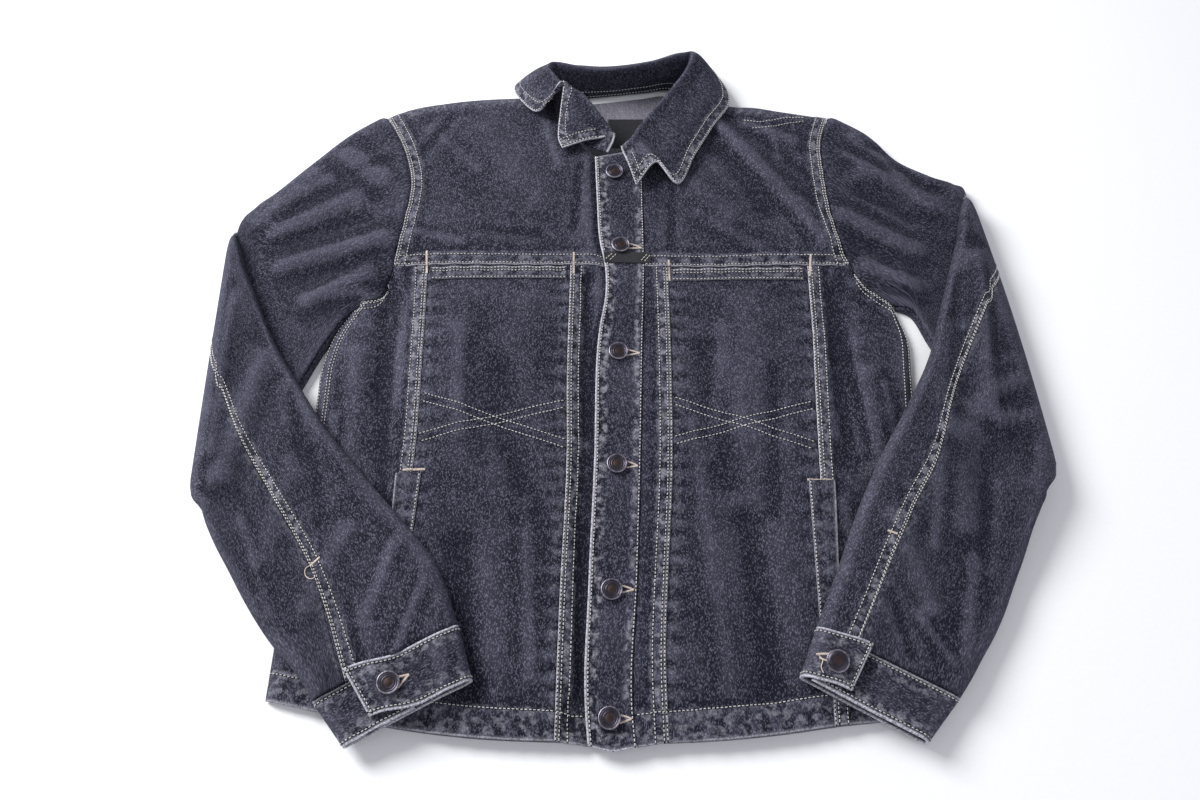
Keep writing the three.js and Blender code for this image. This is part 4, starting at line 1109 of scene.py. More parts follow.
def cuff_grid(cuff):
    """A cuff's outer face, from its end underneath once round the wrist to its buttoned end."""
    v = cells(44)
    round_edge = np.array([0.1, 0.07, 0.045, 0.025, 0.012, 0.004])
    across_top = np.linspace(0.1, cuff["tabEnd"], 20)
    near_tab = cuff["tabEnd"] - np.array([0.018, 0.009, 0])
    parts = [
        (np.linspace(cuff["underStart"], 0.9, 14), "under"),
        (1 - round_edge[1:], "under"),
        (np.array([1.0]), "low"),
        (1 - round_edge[::-1], "low"),
        (np.linspace(0.9, 0.1, 26)[1:-1], "low"),
        (round_edge, "low"),
        (np.array([0.0]), "top"),
        (round_edge[::-1], "top"),
        (np.concatenate([across_top[1:-1], near_tab]), "top"),
    ]
    return np.concatenate([cuff_part(cuff, place, layer, v) for place, layer in parts])


def cuff_top(cuff, place, v):
    return cuff_part(cuff, [place], "top", [v])[0, 0]


# Collar


# Ripples of the collar's fall: place along it from 0 to 1, height and half length
COLLAR_RIPPLES = table("at depth width", [
    [0.1, 0.8, 0.05], [0.22, 1.1, 0.04], [0.35, -0.8, 0.05], [0.68, 0.9, 0.05], [0.8, -0.8, 0.04],
    [0.9, 0.9, 0.03],
])


def collar_path(station):
    """The collar's cross-section: up from the neck seam, over the fold and down to its outer edge."""
    seat = plain_front(np.array(station["bx"]), np.array(station["by"]))
    cloth = size("cloth")
    under = max(cloth, mix(cloth, float(seat), min(1, max(0, station["seat"]))))
    base = np.array([station["bx"], station["by"], under + COLLAR_SEAT])
    fold = np.array([station["fx"], station["fy"], station["fz"]])
    edge = np.array([station["ex"], station["ey"], station["ez"]])
    out = unit((edge - fold)[:2])
    roll = min(COLLAR_ROLL, (fold[2] - base[2]) * 0.42)
    fall = np.append(fold[:2] + out * roll * 1.2, mix(fold[2], edge[2], 0.12) - 0.6)
    stand = np.append(mix(fold[:2], base[:2], 0.3) - out * roll * 0.35, mix(fold[2], base[2], 0.3))
    middle = mix(fall, edge, 0.5) + [0, 0, 2.2]
    return smooth_line([base, stand, fold, fall, middle, edge])


def collar_grid():
    """The collar's visible face: the inside of its stand and the top of its fall."""
    names = COLLAR_COLUMNS.split()
    along = smooth_line(np.array(COLLAR, float))
    s = steps(34, 104)
    columns = []
    for t in steps(200, 820):
        path = collar_path(dict(zip(names, along(t))))
        columns.append(path(s))
    grid = np.array(columns)
    lift = np.zeros(grid.shape[:2])
    across_fall = smooth((s[None] - 0.45) / 0.2)
    t = np.linspace(0, 1, len(grid))[:, None]
    for row in COLLAR_RIPPLES:
        lift += row["depth"] * np.exp(-(((t - row["at"]) / row["width"]) ** 2)) * across_fall
    return grid + normals_of(grid) * (lift * crease_depth())[..., None]


# Materials


def add_node(tree, kind, settings=None, links=None):
    """Adds a node with its settings; links maps its inputs to sockets, nodes or plain values."""
    made = tree.nodes.new("ShaderNode" + kind)
    for key, value in (settings or {}).items():
        setattr(made, key, value)
    for key, value in (links or {}).items():
        if isinstance(value, bpy.types.Node):
            value = value.outputs[0]
        if isinstance(value, bpy.types.NodeSocket):
            tree.links.new(value, made.inputs[key])
        else:
            made.inputs[key].default_value = value
    return made


def new_material(name):
    """An empty material with its output."""
    finish = bpy.data.materials.new(name)
    finish.use_nodes = True
    tree = finish.node_tree
    tree.nodes.clear()
    return finish, tree, tree.nodes.new("ShaderNodeOutputMaterial")


# The twill as drawn, in millimetres, and how much of a float each thread is set off from the last
THREAD_PITCH, FLOAT_LENGTH, TWILL_STEP = 0.7, 1.3, 0.37


def denim(name, dark, light, rubbed, speckle=1.0):
    """Washed black denim: a 3/1 twill of dyed warp over pale weft, stone washed after sewing.

    The dye sits on the outside of the warp threads and rubs off where the cloth is raised. So the eye
    gets fine pale and dark specks drawn out along the warp, faint diagonal twill lines, soft cloudy
    fading, and nearly white edges. Warp threads are 0.4 mm apart and a float is 1.2 mm long. Those are
    too fine for a render, so THREAD_PITCH and FLOAT_LENGTH draw them a little coarser, so that they show.
    """
    finish, tree, out = new_material(name)
    grain = add_node(tree, "UVMap", {"uv_map": "grain"})
    place = add_node(tree, "TexCoord").outputs["Object"]
    sides = add_node(tree, "SeparateXYZ", {}, {0: grain})

    # One cell for each float of the warp, set off from one thread to the next as the twill steps up
    per_thread, per_float = 1 / (THREAD_PITCH * MM), 1 / (FLOAT_LENGTH * MM)
    thread_at = add_node(tree, "Math", {"operation": "MULTIPLY"}, {0: sides.outputs[0], 1: per_thread})
    thread_no = add_node(tree, "Math", {"operation": "FLOOR"}, {0: thread_at})
    float_at = add_node(tree, "Math", {"operation": "MULTIPLY"}, {0: sides.outputs[1], 1: per_float})
    stepped = add_node(tree, "Math", {"operation": "MULTIPLY_ADD"}, {0: thread_no, 1: TWILL_STEP, 2: float_at})
    float_no = add_node(tree, "Math", {"operation": "FLOOR"}, {0: stepped})
    cell = add_node(tree, "CombineXYZ", {}, {0: thread_no, 1: float_no})
    floats = add_node(tree, "TexWhiteNoise", {"noise_dimensions": "2D"}, {"Vector": cell}).outputs["Value"]

    stretched = add_node(tree, "VectorMath", {"operation": "MULTIPLY"}, {0: grain, 1: (900.0, 260.0, 1.0)})
    slub = add_node(
        tree, "TexNoise", {}, {"Vector": stretched, "Scale": 1.0, "Detail": 2.0, "Roughness": 0.7}
    )
    pepper = add_node(tree, "TexNoise", {}, {"Vector": grain, "Scale": 620.0, "Detail": 1.0}).outputs[0]
    cloud = add_node(tree, "TexNoise", {}, {"Vector": place, "Scale": 55.0, "Detail": 3.0}).outputs[0]
    broad = add_node(tree, "TexNoise", {}, {"Vector": place, "Scale": 13.0, "Detail": 2.0}).outputs[0]
    crest = add_node(tree, "Attribute", {"attribute_name": "crest"}).outputs["Fac"]
    pale = add_node(tree, "Math", {"operation": "POWER"}, {0: floats, 1: 3.5})
    level = 0.02 - 0.5 * (0.1 + 0.12 + 0.18)
    # crest pales raised cloth, where washing fades the dye, and darkens hollows as painted shade
    for part, strength in ((pale, 0.42 * speckle), (slub, 0.1), (cloud, 0.12), (broad, 0.18), (crest, 0.11)):
        level = add_node(tree, "Math", {"operation": "MULTIPLY_ADD"}, {0: part, 1: strength, 2: level})
    fade = add_node(tree, "Clamp", {}, {0: level})
    dyed = add_node(tree, "Mix", {"data_type": "RGBA"}, {"Factor": fade, 6: dark, 7: light}).outputs[2]

    edge = add_node(tree, "Attribute", {"attribute_name": "edge"}).outputs["Fac"]
    rope = add_node(tree, "Attribute", {"attribute_name": "rope"}).outputs["Fac"]
    frayed = add_node(
        tree, "MapRange", {"clamp": True},
        {"Value": pepper, "From Min": 0.32, "From Max": 0.6, "To Min": 0.35, "To Max": 1.0},
    )
    frayed_edge = add_node(tree, "Math", {"operation": "MULTIPLY"}, {0: edge, 1: frayed})
    blotch = add_node(tree, "TexNoise", {}, {"Vector": place, "Scale": 190.0, "Detail": 2.0})
    roped = add_node(
        tree, "MapRange", {"clamp": True, "interpolation_type": "SMOOTHSTEP"},
        {"Value": blotch, "From Min": 0.44, "From Max": 0.68, "To Min": 0.0, "To Max": 0.42},
    )
    specked = add_node(tree, "Math", {"operation": "MULTIPLY"}, {0: roped, 1: frayed})
    roping = add_node(tree, "Math", {"operation": "MULTIPLY"}, {0: specked, 1: rope})
    rub = add_node(tree, "Math", {"operation": "MAXIMUM"}, {0: frayed_edge, 1: roping})
    shown = add_node(tree, "Mix", {"data_type": "RGBA"}, {"Factor": rub, 6: dyed, 7: rubbed}).outputs[2]

    relief = add_node(tree, "Math", {"operation": "ADD"}, {0: slub, 1: floats})
    bump = add_node(tree, "Bump", {}, {"Strength": 0.45, "Distance": 0.0005, "Height": relief})
    roughness = add_node(tree, "MapRange", {}, {"Value": slub, "To Min": 0.98, "To Max": 0.84})
    shader = add_node(
        tree, "BsdfPrincipled", {},
        {
            "Base Color": shown, "Roughness": roughness, "Normal": bump, "Specular IOR Level": 0.14,
            "Sheen Weight": 0.08, "Sheen Roughness": 0.5, "Sheen Tint": linear("9a9aae"),
        },
    )
    tree.links.new(shader.outputs[0], out.inputs[0])
    return finish


def yarn(name, tone, contrast, sheen):
    """Spun polyester and cotton thread: twisted, matt, and dusty where it was washed."""
    finish, tree, out = new_material(name)
    place = add_node(tree, "TexCoord").outputs["Object"]
    ply = add_node(tree, "TexNoise", {}, {"Vector": place, "Scale": 900.0, "Detail": 2.0}).outputs[0]
    washed = add_node(tree, "TexNoise", {}, {"Vector": place, "Scale": 60.0, "Detail": 2.0}).outputs[0]
    faded = add_node(tree, "Math", {"operation": "MULTIPLY"}, {0: washed, 1: 0.5})
    level = add_node(tree, "Math", {"operation": "MULTIPLY_ADD"}, {0: ply, 1: 0.6, 2: faded})
    shade = add_node(
        tree, "MapRange", {"clamp": True},
        {"Value": level, "From Min": 0.38, "From Max": 0.72, "To Min": 1 - contrast, "To Max": 1.0},
    ).outputs[0]
    tinted = add_node(
        tree, "Mix", {"data_type": "RGBA", "blend_type": "MULTIPLY"},
        {"Factor": 1.0, 6: tone, 7: shade},
    ).outputs[2]
    bump = add_node(tree, "Bump", {}, {"Strength": 0.4, "Distance": 0.0002, "Height": ply})
    shader = add_node(
        tree, "BsdfPrincipled", {},
        {
            "Base Color": tinted, "Roughness": 0.8, "Normal": bump, "Specular IOR Level": 0.25,
            "Sheen Weight": sheen, "Sheen Roughness": 0.5,
        },
    )
    tree.links.new(shader.outputs[0], out.inputs[0])
    return finish


def woven_ribbon(name):
    """Damask ribbon: black filament yarn in a fine plain weave, which shines a little along its ribs."""
    finish, tree, out = new_material(name)
    grain = add_node(tree, "UVMap", {"uv_map": "grain"})
    rib = (0.0, 2 * math.pi / (0.9 * MM), 0.0)
    along = add_node(tree, "VectorMath", {"operation": "DOT_PRODUCT"}, {0: grain, 1: rib})
    ribs = add_node(tree, "Math", {"operation": "SINE"}, {0: along.outputs["Value"]})
    place = add_node(tree, "TexCoord").outputs["Object"]
    dust = add_node(tree, "TexNoise", {}, {"Vector": place, "Scale": 500.0, "Detail": 2.0}).outputs[0]
    shade = add_node(
        tree, "MapRange", {"clamp": True},
        {"Value": dust, "From Min": 0.35, "From Max": 0.8, "To Min": 0.0, "To Max": 0.35},
    ).outputs[0]
    colour_out = add_node(
        tree, "Mix", {"data_type": "RGBA"},
        {"Factor": shade, 6: paint("ribbon"), 7: linear("3b3b47")},
    ).outputs[2]
    bump = add_node(tree, "Bump", {}, {"Strength": 0.35, "Distance": 0.0002, "Height": ribs})
    shader = add_node(
        tree, "BsdfPrincipled", {},
        {
            "Base Color": colour_out, "Roughness": 0.5, "Normal": bump, "Specular IOR Level": 0.4,
            "Sheen Weight": 0.1,
        },
    )
    tree.links.new(shader.outputs[0], out.inputs[0])
    return finish


def antiqued_brass(name):
    """Pressed brass, plated dark and rubbed back: grey hollows, a bright rim and a browned middle."""
    finish, tree, out = new_material(name)
    ring = add_node(tree, "Attribute", {"attribute_name": "ring"}).outputs["Fac"]
    place = add_node(tree, "TexCoord").outputs["Object"]
    tarnish = add_node(tree, "TexNoise", {}, {"Vector": place, "Scale": 420.0, "Detail": 4.0}).outputs[0]
    uneven = add_node(tree, "Math", {"operation": "SUBTRACT"}, {0: tarnish, 1: 0.5})
    moved = add_node(tree, "Math", {"operation": "MULTIPLY_ADD"}, {0: uneven, 1: 0.28, 2: ring})
    bands = add_node(tree, "ValToRGB", {}, {"Fac": moved})
    ramp = bands.color_ramp
    ramp.elements[0].position, ramp.elements[0].color = 0.0, paint("copper")
    ramp.elements[1].position, ramp.elements[1].color = 1.0, linear("a7a2ae")
    for position, shade in ((0.34, linear("473c3c")), (0.5, linear("37343c")), (0.78, linear("45424c")),
                            (0.88, paint("metal"))):
        ramp.elements.new(position).color = shade
    roughness = add_node(
        tree, "MapRange", {"clamp": True},
        {"Value": tarnish, "From Min": 0.3, "From Max": 0.7, "To Min": 0.28, "To Max": 0.5},
    )
    bump = add_node(tree, "Bump", {}, {"Strength": 0.3, "Distance": 0.0002, "Height": tarnish})
    shader = add_node(
        tree, "BsdfPrincipled", {},
        {"Base Color": bands.outputs[0], "Metallic": 0.9, "Roughness": roughness, "Normal": bump},
    )
    tree.links.new(shader.outputs[0], out.inputs[0])
    return finish


def seamless_paper(name):
    """Matt white studio paper, which gives soft pale shadows."""
    finish, tree, out = new_material(name)
    place = add_node(tree, "TexCoord").outputs["Object"]
    fibre = add_node(tree, "TexNoise", {}, {"Vector": place, "Scale": 300.0, "Detail": 2.0}).outputs[0]
    tone = add_node(
        tree, "Mix", {"data_type": "RGBA"}, {"Factor": fibre, 6: linear("fafafc"), 7: linear("ffffff")}
    ).outputs[2]
    shader = add_node(
        tree, "BsdfPrincipled", {},
        {"Base Color": tone, "Roughness": 0.95, "Specular IOR Level": 0.1},
    )
    tree.links.new(shader.outputs[0], out.inputs[0])
    return finish


MADE = {}


def material(kind):
    """Each material once."""
    if kind not in MADE:
        MADE[kind] = {
            "denim": lambda: denim(
                "stone_washed_denim", paint("warp_dark"), paint("warp_light"), paint("worn")
            ),
            "inside": lambda: denim(
                "denim_wrong_side", paint("inside_dark"), paint("inside_light"), linear("c9c7cf"), 0.8
            ),
            # Dark strips under the stitch rows: painted shade of the furrow that each thread pulls into the
            # cloth
            "painted_thread_shade": lambda: denim(
                "denim_under_thread", linear("0b0b10"), linear("2e2e38"), paint("worn"), 0.7
            ),
            "thread": lambda: yarn("topstitch_thread", paint("thread"), 0.38, 0.1),
            "tack": lambda: yarn("bar_tack_thread", paint("tack"), 0.3, 0.15),
            "pale_thread": lambda: yarn("label_thread", linear("d8d2c8"), 0.2, 0.15),
            "ribbon": lambda: woven_ribbon("black_woven_ribbon"),
            "metal": lambda: antiqued_brass("antiqued_brass"),
            "paper": lambda: seamless_paper("white_paper"),
        }[kind]()
    return MADE[kind]


# Stitching


def resample(points, pitch):
    """A line of points again at even steps."""
    at = np.concatenate([[0], np.cumsum(np.linalg.norm(np.diff(points, axis=0), axis=1))])
    s = np.linspace(0, at[-1], max(2, round(at[-1] / pitch) + 1))
    return np.stack([np.interp(s, at, points[:, k]) for k in range(points.shape[1])], -1)


def row_in(node, side, away, start=0.0, end=1.0):
    """Points and normals of a line that runs a distance inside one border of a piece."""
    grid, sign = FACES[node]
    normal = normals_of(grid) * sign
    distance = arcs(grid)[side]
    if side in ("bottom", "top"):
        grid, normal, distance = (np.swapaxes(value, 0, 1) for value in (grid, normal, distance))
    if side in ("right", "top"):
        grid, normal, distance = grid[::-1], normal[::-1], distance[::-1]
    columns = range(int(start * (grid.shape[1] - 1)), int(round(end * (grid.shape[1] - 1))) + 1)
    both = np.concatenate([grid, normal], -1)
    line = []
    for j in columns:
        f = np.interp(away, distance[:, j], np.arange(len(grid)))
        i = min(int(f), len(grid) - 2)
        line.append(mix(both[i, j], both[i + 1, j], f - i))
    return np.array(line)


TREES = {}


def drape(points, nodes, pitch=1.5):
    """A line in plan, laid on the tops of the pieces for the named nodes, as points and normals."""
    line = []
    for x, y in resample(np.asarray(points, float), pitch):
        best = None
        for name in nodes:
            if name not in TREES:
                mesh = bpy.data.objects["cloth_" + name].data
                corners = [v.co.copy() for v in mesh.vertices]
                TREES[name] = BVHTree.FromPolygons(corners, [tuple(p.vertices) for p in mesh.polygons])
            start = (x * MM + SHIFT[0], y * MM + SHIFT[1], 0.2)
            hit, normal, _, _ = TREES[name].ray_cast(start, (0, 0, -1))
            if hit is not None and (best is None or hit.z > best[0].z):
                best = (hit, normal if normal.z > 0 else -normal)
        if best is not None:
            line.append([*((np.array(best[0]) - SHIFT) / MM), *best[1]])
    return np.array(line)


def beads(row, pitch, long, thick, crosswise=0.0, sides=5):
    """Stitches along a row: rounded short lengths of thread that dip into the cloth at both ends."""
    at = np.concatenate([[0], np.cumsum(np.linalg.norm(np.diff(row[:, :3], axis=0), axis=1))])
    count = int(at[-1] // pitch)
    if count < 1:
        return np.zeros((0, 3)), np.zeros((0, 4), int)
    sample = lambda s: np.stack([np.interp(s, at, row[:, k]) for k in range(6)], -1)
    middle = (at[-1] - count * pitch) / 2 + (np.arange(count) + 0.5) * pitch
    number = np.arange(count)
    one, two = sample(middle - long / 2), sample(middle + long / 2)
    centre, normal = sample(middle)[:, :3], unit(sample(middle)[:, 3:])
    run = unit(two[:, :3] - one[:, :3])
    side = np.cross(normal, run)
    turn = crosswise + 0.07 * np.sin(number * 2.39 + len(row))[:, None]
    run, side = run * np.cos(turn) + side * np.sin(turn), side * np.cos(turn) - run * np.sin(turn)
    size_of = 1 + 0.1 * np.sin(number * 1.7)[:, None]
    rings = []
    for f, lift in ((-0.5, -0.12), (-0.3, 0.5), (0.3, 0.5), (0.5, -0.12)):
        middle_of = centre + run * (f * long) + normal * (thick * lift * 0.62)
        if abs(f) == 0.5:
            rings.append(middle_of[:, None])
            continue
        angles = 2 * math.pi * np.arange(sides) / sides
        ring = side[:, None] * np.cos(angles)[None, :, None] + normal[:, None] * np.sin(angles)[None, :, None]
        rings.append(middle_of[:, None] + ring * (thick / 2 * size_of)[:, None])
    points = np.concatenate(rings, 1)
    k = np.arange(sides)
    after = (k + 1) % sides
    tip = np.zeros(sides, int)
    faces = np.concatenate([
        np.stack([tip, 1 + after, 1 + k, 1 + k], -1),
        np.stack([1 + k, 1 + after, 1 + sides + after, 1 + sides + k], -1),
        np.stack([tip + 2 * sides + 1, 1 + sides + k, 1 + sides + after, 1 + sides + after], -1),
    ])
    total = 2 * sides + 2
    all_faces = faces[None] + (np.arange(count) * total)[:, None, None]
    return points.reshape(-1, 3), all_faces.reshape(-1, 4)


def ribbon_along(row, wide, lift):
    """A narrow strip on the cloth along a row, as points and faces."""
    run = np.gradient(row[:, :3], axis=0)
    side = unit(np.cross(row[:, 3:], run))
    middle = row[:, :3] + row[:, 3:] * lift
    points = np.stack([middle - side * wide / 2, middle + side * wide / 2], 1).reshape(-1, 3)
    k = 2 * np.arange(len(row) - 1)
    return points, np.stack([k, k + 1, k + 3, k + 2], -1)


def joined_parts(parts):
    """Points and faces of several parts as one."""
    points, faces, base = [], [], 0
    for some_points, some_faces in parts:
        points.append(some_points)
        faces.append(some_faces + base)
        base += len(some_points)
    return np.concatenate(points), np.concatenate(faces)


def clean_faces(faces):
    """Faces as lists, with repeated corners left out."""
    return [list(dict.fromkeys(face)) for face in faces.tolist()]


def sew(name, rows, kind="thread", painted_thread_shade=True):
    """Rows of topstitching as one piece, each on a dark strip of painted shade where its thread pulls a furrow
    into the cloth.
    """
    pitch = size("stitch") + size("stitch_gap")
    rows = [row for row in rows if len(row) > 1]
    thread = joined_parts([beads(row, pitch, size("stitch"), size("thread")) for row in rows])
    # a dark strip of painted shade along each row
    shade_strips = joined_parts([ribbon_along(resample(row, 3.2), 1.25, 0.1) for row in rows])
    points, faces = joined_parts([thread, shade_strips] if painted_thread_shade else [thread])
    slots = np.zeros(len(faces), np.int32)
    slots[len(thread[1]):] = 1
    values = {"edge": np.zeros(len(points)), "rope": np.zeros(len(points))}
    piece = make_mesh(
        name, points, clean_faces(faces), [material(kind), material("painted_thread_shade")], slots, points[:, :2], values
    )
    return rides(piece)


def satin(name, rows, kind="tack"):
    """Bar tacks and buttonholes: close crosswise stitches, each row with its width."""
    parts = [beads(row, 0.6, wide, 0.62, crosswise=math.pi / 2) for row, wide in rows if len(row) > 1]
    points, faces = joined_parts(parts)
    return rides(make_mesh(name, points, clean_faces(faces), [material(kind)]))


def loose_thread(name, points, thick=0.7, kind="tack"):
    """A loose end of thread as a thin tube through points."""
    path = smooth_line(points)(np.linspace(0, 1, 8 * len(points)))
    run = unit(np.gradient(path, axis=0))
    side = unit(np.cross(run, [0, 0, 1.0]))
    up = np.cross(side, run)
    angles = 2 * math.pi * np.arange(6) / 6
    ring = side[:, None] * np.cos(angles)[None, :, None] + up[:, None] * np.sin(angles)[None, :, None]
    grid = path[:, None] + ring * thick / 2
    starts = range(0, 6 * (len(path) - 1), 6)
    faces = [[i + a, i + (a + 1) % 6, i + 6 + (a + 1) % 6, i + 6 + a] for i in starts for a in range(6)]
    faces += [list(range(5, -1, -1)), [6 * (len(path) - 1) + a for a in range(6)]]
    return rides(make_mesh(name, grid.reshape(-1, 3), faces, [material(kind)]))


# Rows on the cloth: piece, border, distances from it, and the part of the border that they follow
FELLED = (0.95, 3.6, 10.2)
BODY_ROWS = [
    ("side_front_left", "right", FELLED, 0, 1),
    ("side_front_left", "left", (4.2, 11.5, 14.2), 0.42, 1),
    ("side_front_right", "left", FELLED, 0, 1),
    ("side_front_right", "right", (4.2, 11.5), 0.4, 1),
    ("front_strip_left", "left", FELLED, 0, 1),
    ("front_strip_right", "right", FELLED, 0, 1),
    ("side_front_left", "bottom", (20.5,), 0, 1),
    ("pocket_front_left", "bottom", (21.5,), 0, 1),
    ("front_strip_left", "bottom", (21.5,), 0, 0.7),
    ("front_strip_right", "bottom", (22.5,), 0, 1),
    ("pocket_front_right", "bottom", (22.5,), 0, 1),
    ("side_front_right", "bottom", (21.5,), 0, 1),
    ("placket", "left", (2.6,), 0, 1),
    ("placket", "right", (1.3,), 0, 1),
]
YOKE_ROWS = [
    ("front_yoke_left", "bottom", (2.0, 11.0), 0, 0.985),
    ("front_yoke_right", "bottom", (2.0, 11.0), 0, 1),
    ("front_yoke_left", "left", (0.95, 3.2, 10.2), 0, 1),
    ("front_yoke_right", "right", (0.95, 3.2, 10.2), 0, 1),
    ("side_front_left", "top", (0.95, 3.2, 10.2), 0, 0.42),
    ("side_front_right", "top", (0.95, 3.2, 10.2), 0.5, 1),
    ("pocket_band_left", "bottom", (1.2,), 0, 1),
    ("pocket_band_left", "top", (1.3, 4.2), 0, 1),
    ("pocket_band_right", "bottom", (1.2,), 0, 1),
    ("pocket_band_right", "top", (1.3, 4.2), 0, 1),
    ("hand_welt_left", "right", (1.2,), 0, 1),
    ("hand_welt_right", "left", (1.2,), 0, 1),
]
# The crossed double rows on the chest: piece and ends
CROSSED_ROWS = [
    ("pocket_front_left", [(-152, -5), (-28, -50)]),
    ("pocket_front_left", [(-151, -44), (-29, -12)]),
    ("pocket_front_right", [(62, -9), (178, -51)]),
    ("pocket_front_right", [(61, -47), (181, -13)]),
]
# Bar tacks of the fronts, from end to end
FRONT_TACKS = [
    [(-160, 148), (-158, 123)],
    [(-24, 145), (-24, 121)],
    [(63, 136), (63, 113)],
    [(194, 143), (191, 119)],
    [(-162, -73), (-143, -73)],
    [(169, -82), (189, -82)],
]
# Front buttonholes: where the satin V starts beside its button, and its tip
BUTTONHOLES = [
    [(25.8, 153), (38.7, 149.6)],
    [(22.6, 38.1), (34.7, 37.1)],
    [(21.3, -68.5), (31.1, -70.3)],
    [(15.4, -174), (26.2, -174.8)],
    [(13.8, -270.2), (23.2, -270.2)],
]
# Buttonholes of the cuffs and tacks of the sleeves: points, what they lie on, and width
SLEEVE_TACKS = [
    ([(-152.2, -244.6), (-139.3, -241.7)], ["cuff_left"], 2.0),
    ([(-146.9, -251.1), (-139.3, -241.7)], ["cuff_left"], 2.0),
    ([(158.7, -227.6), (170.4, -227.6)], ["cuff_right"], 2.2),
    ([(160.5, -230.5), (167.8, -233.3)], ["cuff_right"], 1.6),
    ([(-223.5, -158.7), (-216.3, -151.8)], ["sleeve_left_top", "sleeve_left_under"], 2.2),
    ([(225, -130.1), (232.4, -133.4)], ["sleeve_right_top", "sleeve_right_under"], 2.2),
]
# Loose ends of thread: points, and what they lie on
LOOSE_ENDS = [
    ([(-223.5, -158.7), (-226.2, -160.5), (-225.7, -166.3), (-219.7, -169.5), (-217.6, -168.3)],
     ["sleeve_left_top", "sleeve_left_under"]),
    ([(160.5, -229), (162.7, -232), (161.1, -237.4), (162.3, -241.5)], ["cuff_right"]),
    ([(178, 124.4), (182, 129.4), (188.5, 129)],
     ["pocket_band_right", "side_front_right", "front_yoke_right"]),
]
# The two rows of the right shoulder's seam, which shows on the front of the yoke
RIGHT_SHOULDER_ROWS = [
    [(144, 312), (160.5, 310.6), (187, 317.3), (206, 318)],
    [(150.7, 301), (164.6, 301), (183, 308), (206, 313)],
]
FRONTS = list(FRONT_EDGES)


# Buttons


# A button from its foot to its middle: radius and height as parts of its size. The flat top has a rim, a
# groove, a ring and a low middle, and the domed one a bare dome.
BUTTON_FOOT = [(0, 0), (0.5, 0), (0.54, 0.3), (0.95, 0.4), (0.99, 0.55), (1, 0.72)]
FLAT_TOP = [
    (0.985, 0.9), (0.95, 0.98), (0.9, 1), (0.855, 0.95), (0.83, 0.78), (0.79, 0.74), (0.76, 0.8), (0.73, 0.83),
    (0.7, 0.8), (0.67, 0.73), (0.56, 0.74), (0.54, 0.79), (0.51, 0.81), (0.48, 0.79), (0.45, 0.76),
    (0.33, 0.82), (0.2, 0.87), (0.08, 0.89), (0, 0.9),
]
DOMED_TOP = [
    (0.985, 0.88), (0.95, 0.96), (0.9, 0.92), (0.86, 0.9),
    *((0.84 * math.cos(a), 0.92 + 0.42 * math.sin(a)) for a in np.linspace(0.05, 1.45, 9)), (0, 1.35),
]


def button(node, centre, tilt=0.0, heading=0.0, domed=False, around=56):
    """A button in the place of its node."""
    profile = np.array(BUTTON_FOOT + (DOMED_TOP if domed else FLAT_TOP)) * [BUTTON_RADIUS, BUTTON_HEIGHT]
    angles = 2 * math.pi * np.arange(around) / around
    rings = profile[1:-1]
    points = np.stack([
        rings[:, :1] * np.cos(angles), rings[:, :1] * np.sin(angles), np.repeat(rings[:, 1:], around, 1)
    ], -1).reshape(-1, 3)
    points = np.concatenate([points, [[0, 0, profile[0, 1]], [0, 0, profile[-1, 1]]]])
    ring = np.hypot(points[:, 0], points[:, 1]) / BUTTON_RADIUS
    turn = np.array([[math.cos(tilt), 0, math.sin(tilt)], [0, 1, 0], [-math.sin(tilt), 0, math.cos(tilt)]])
    spin = np.array([
        [math.cos(heading), -math.sin(heading), 0], [math.sin(heading), math.cos(heading), 0], [0, 0, 1]
    ])
    points = points @ (spin @ turn).T + np.asarray(centre)
    count, k = len(rings), np.arange(around)
    after = (k + 1) % around
    faces = [[i * around + a, i * around + b, (i + 1) * around + b, (i + 1) * around + a]
             for i in range(count - 1) for a, b in zip(k, after)]
    foot, top = count * around, count * around + 1
    faces += [[foot, b, a] for a, b in zip(k, after)]
    faces += [[top, (count - 1) * around + a, (count - 1) * around + b] for a, b in zip(k, after)]
    faces = [[int(v) for v in face] for face in faces]
    piece = make_mesh("metal_" + node, points, faces, [material("metal")], values={"ring": ring})
    rides(piece)
    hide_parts(node)
    return piece


# Operators: one for each piece or group of like pieces


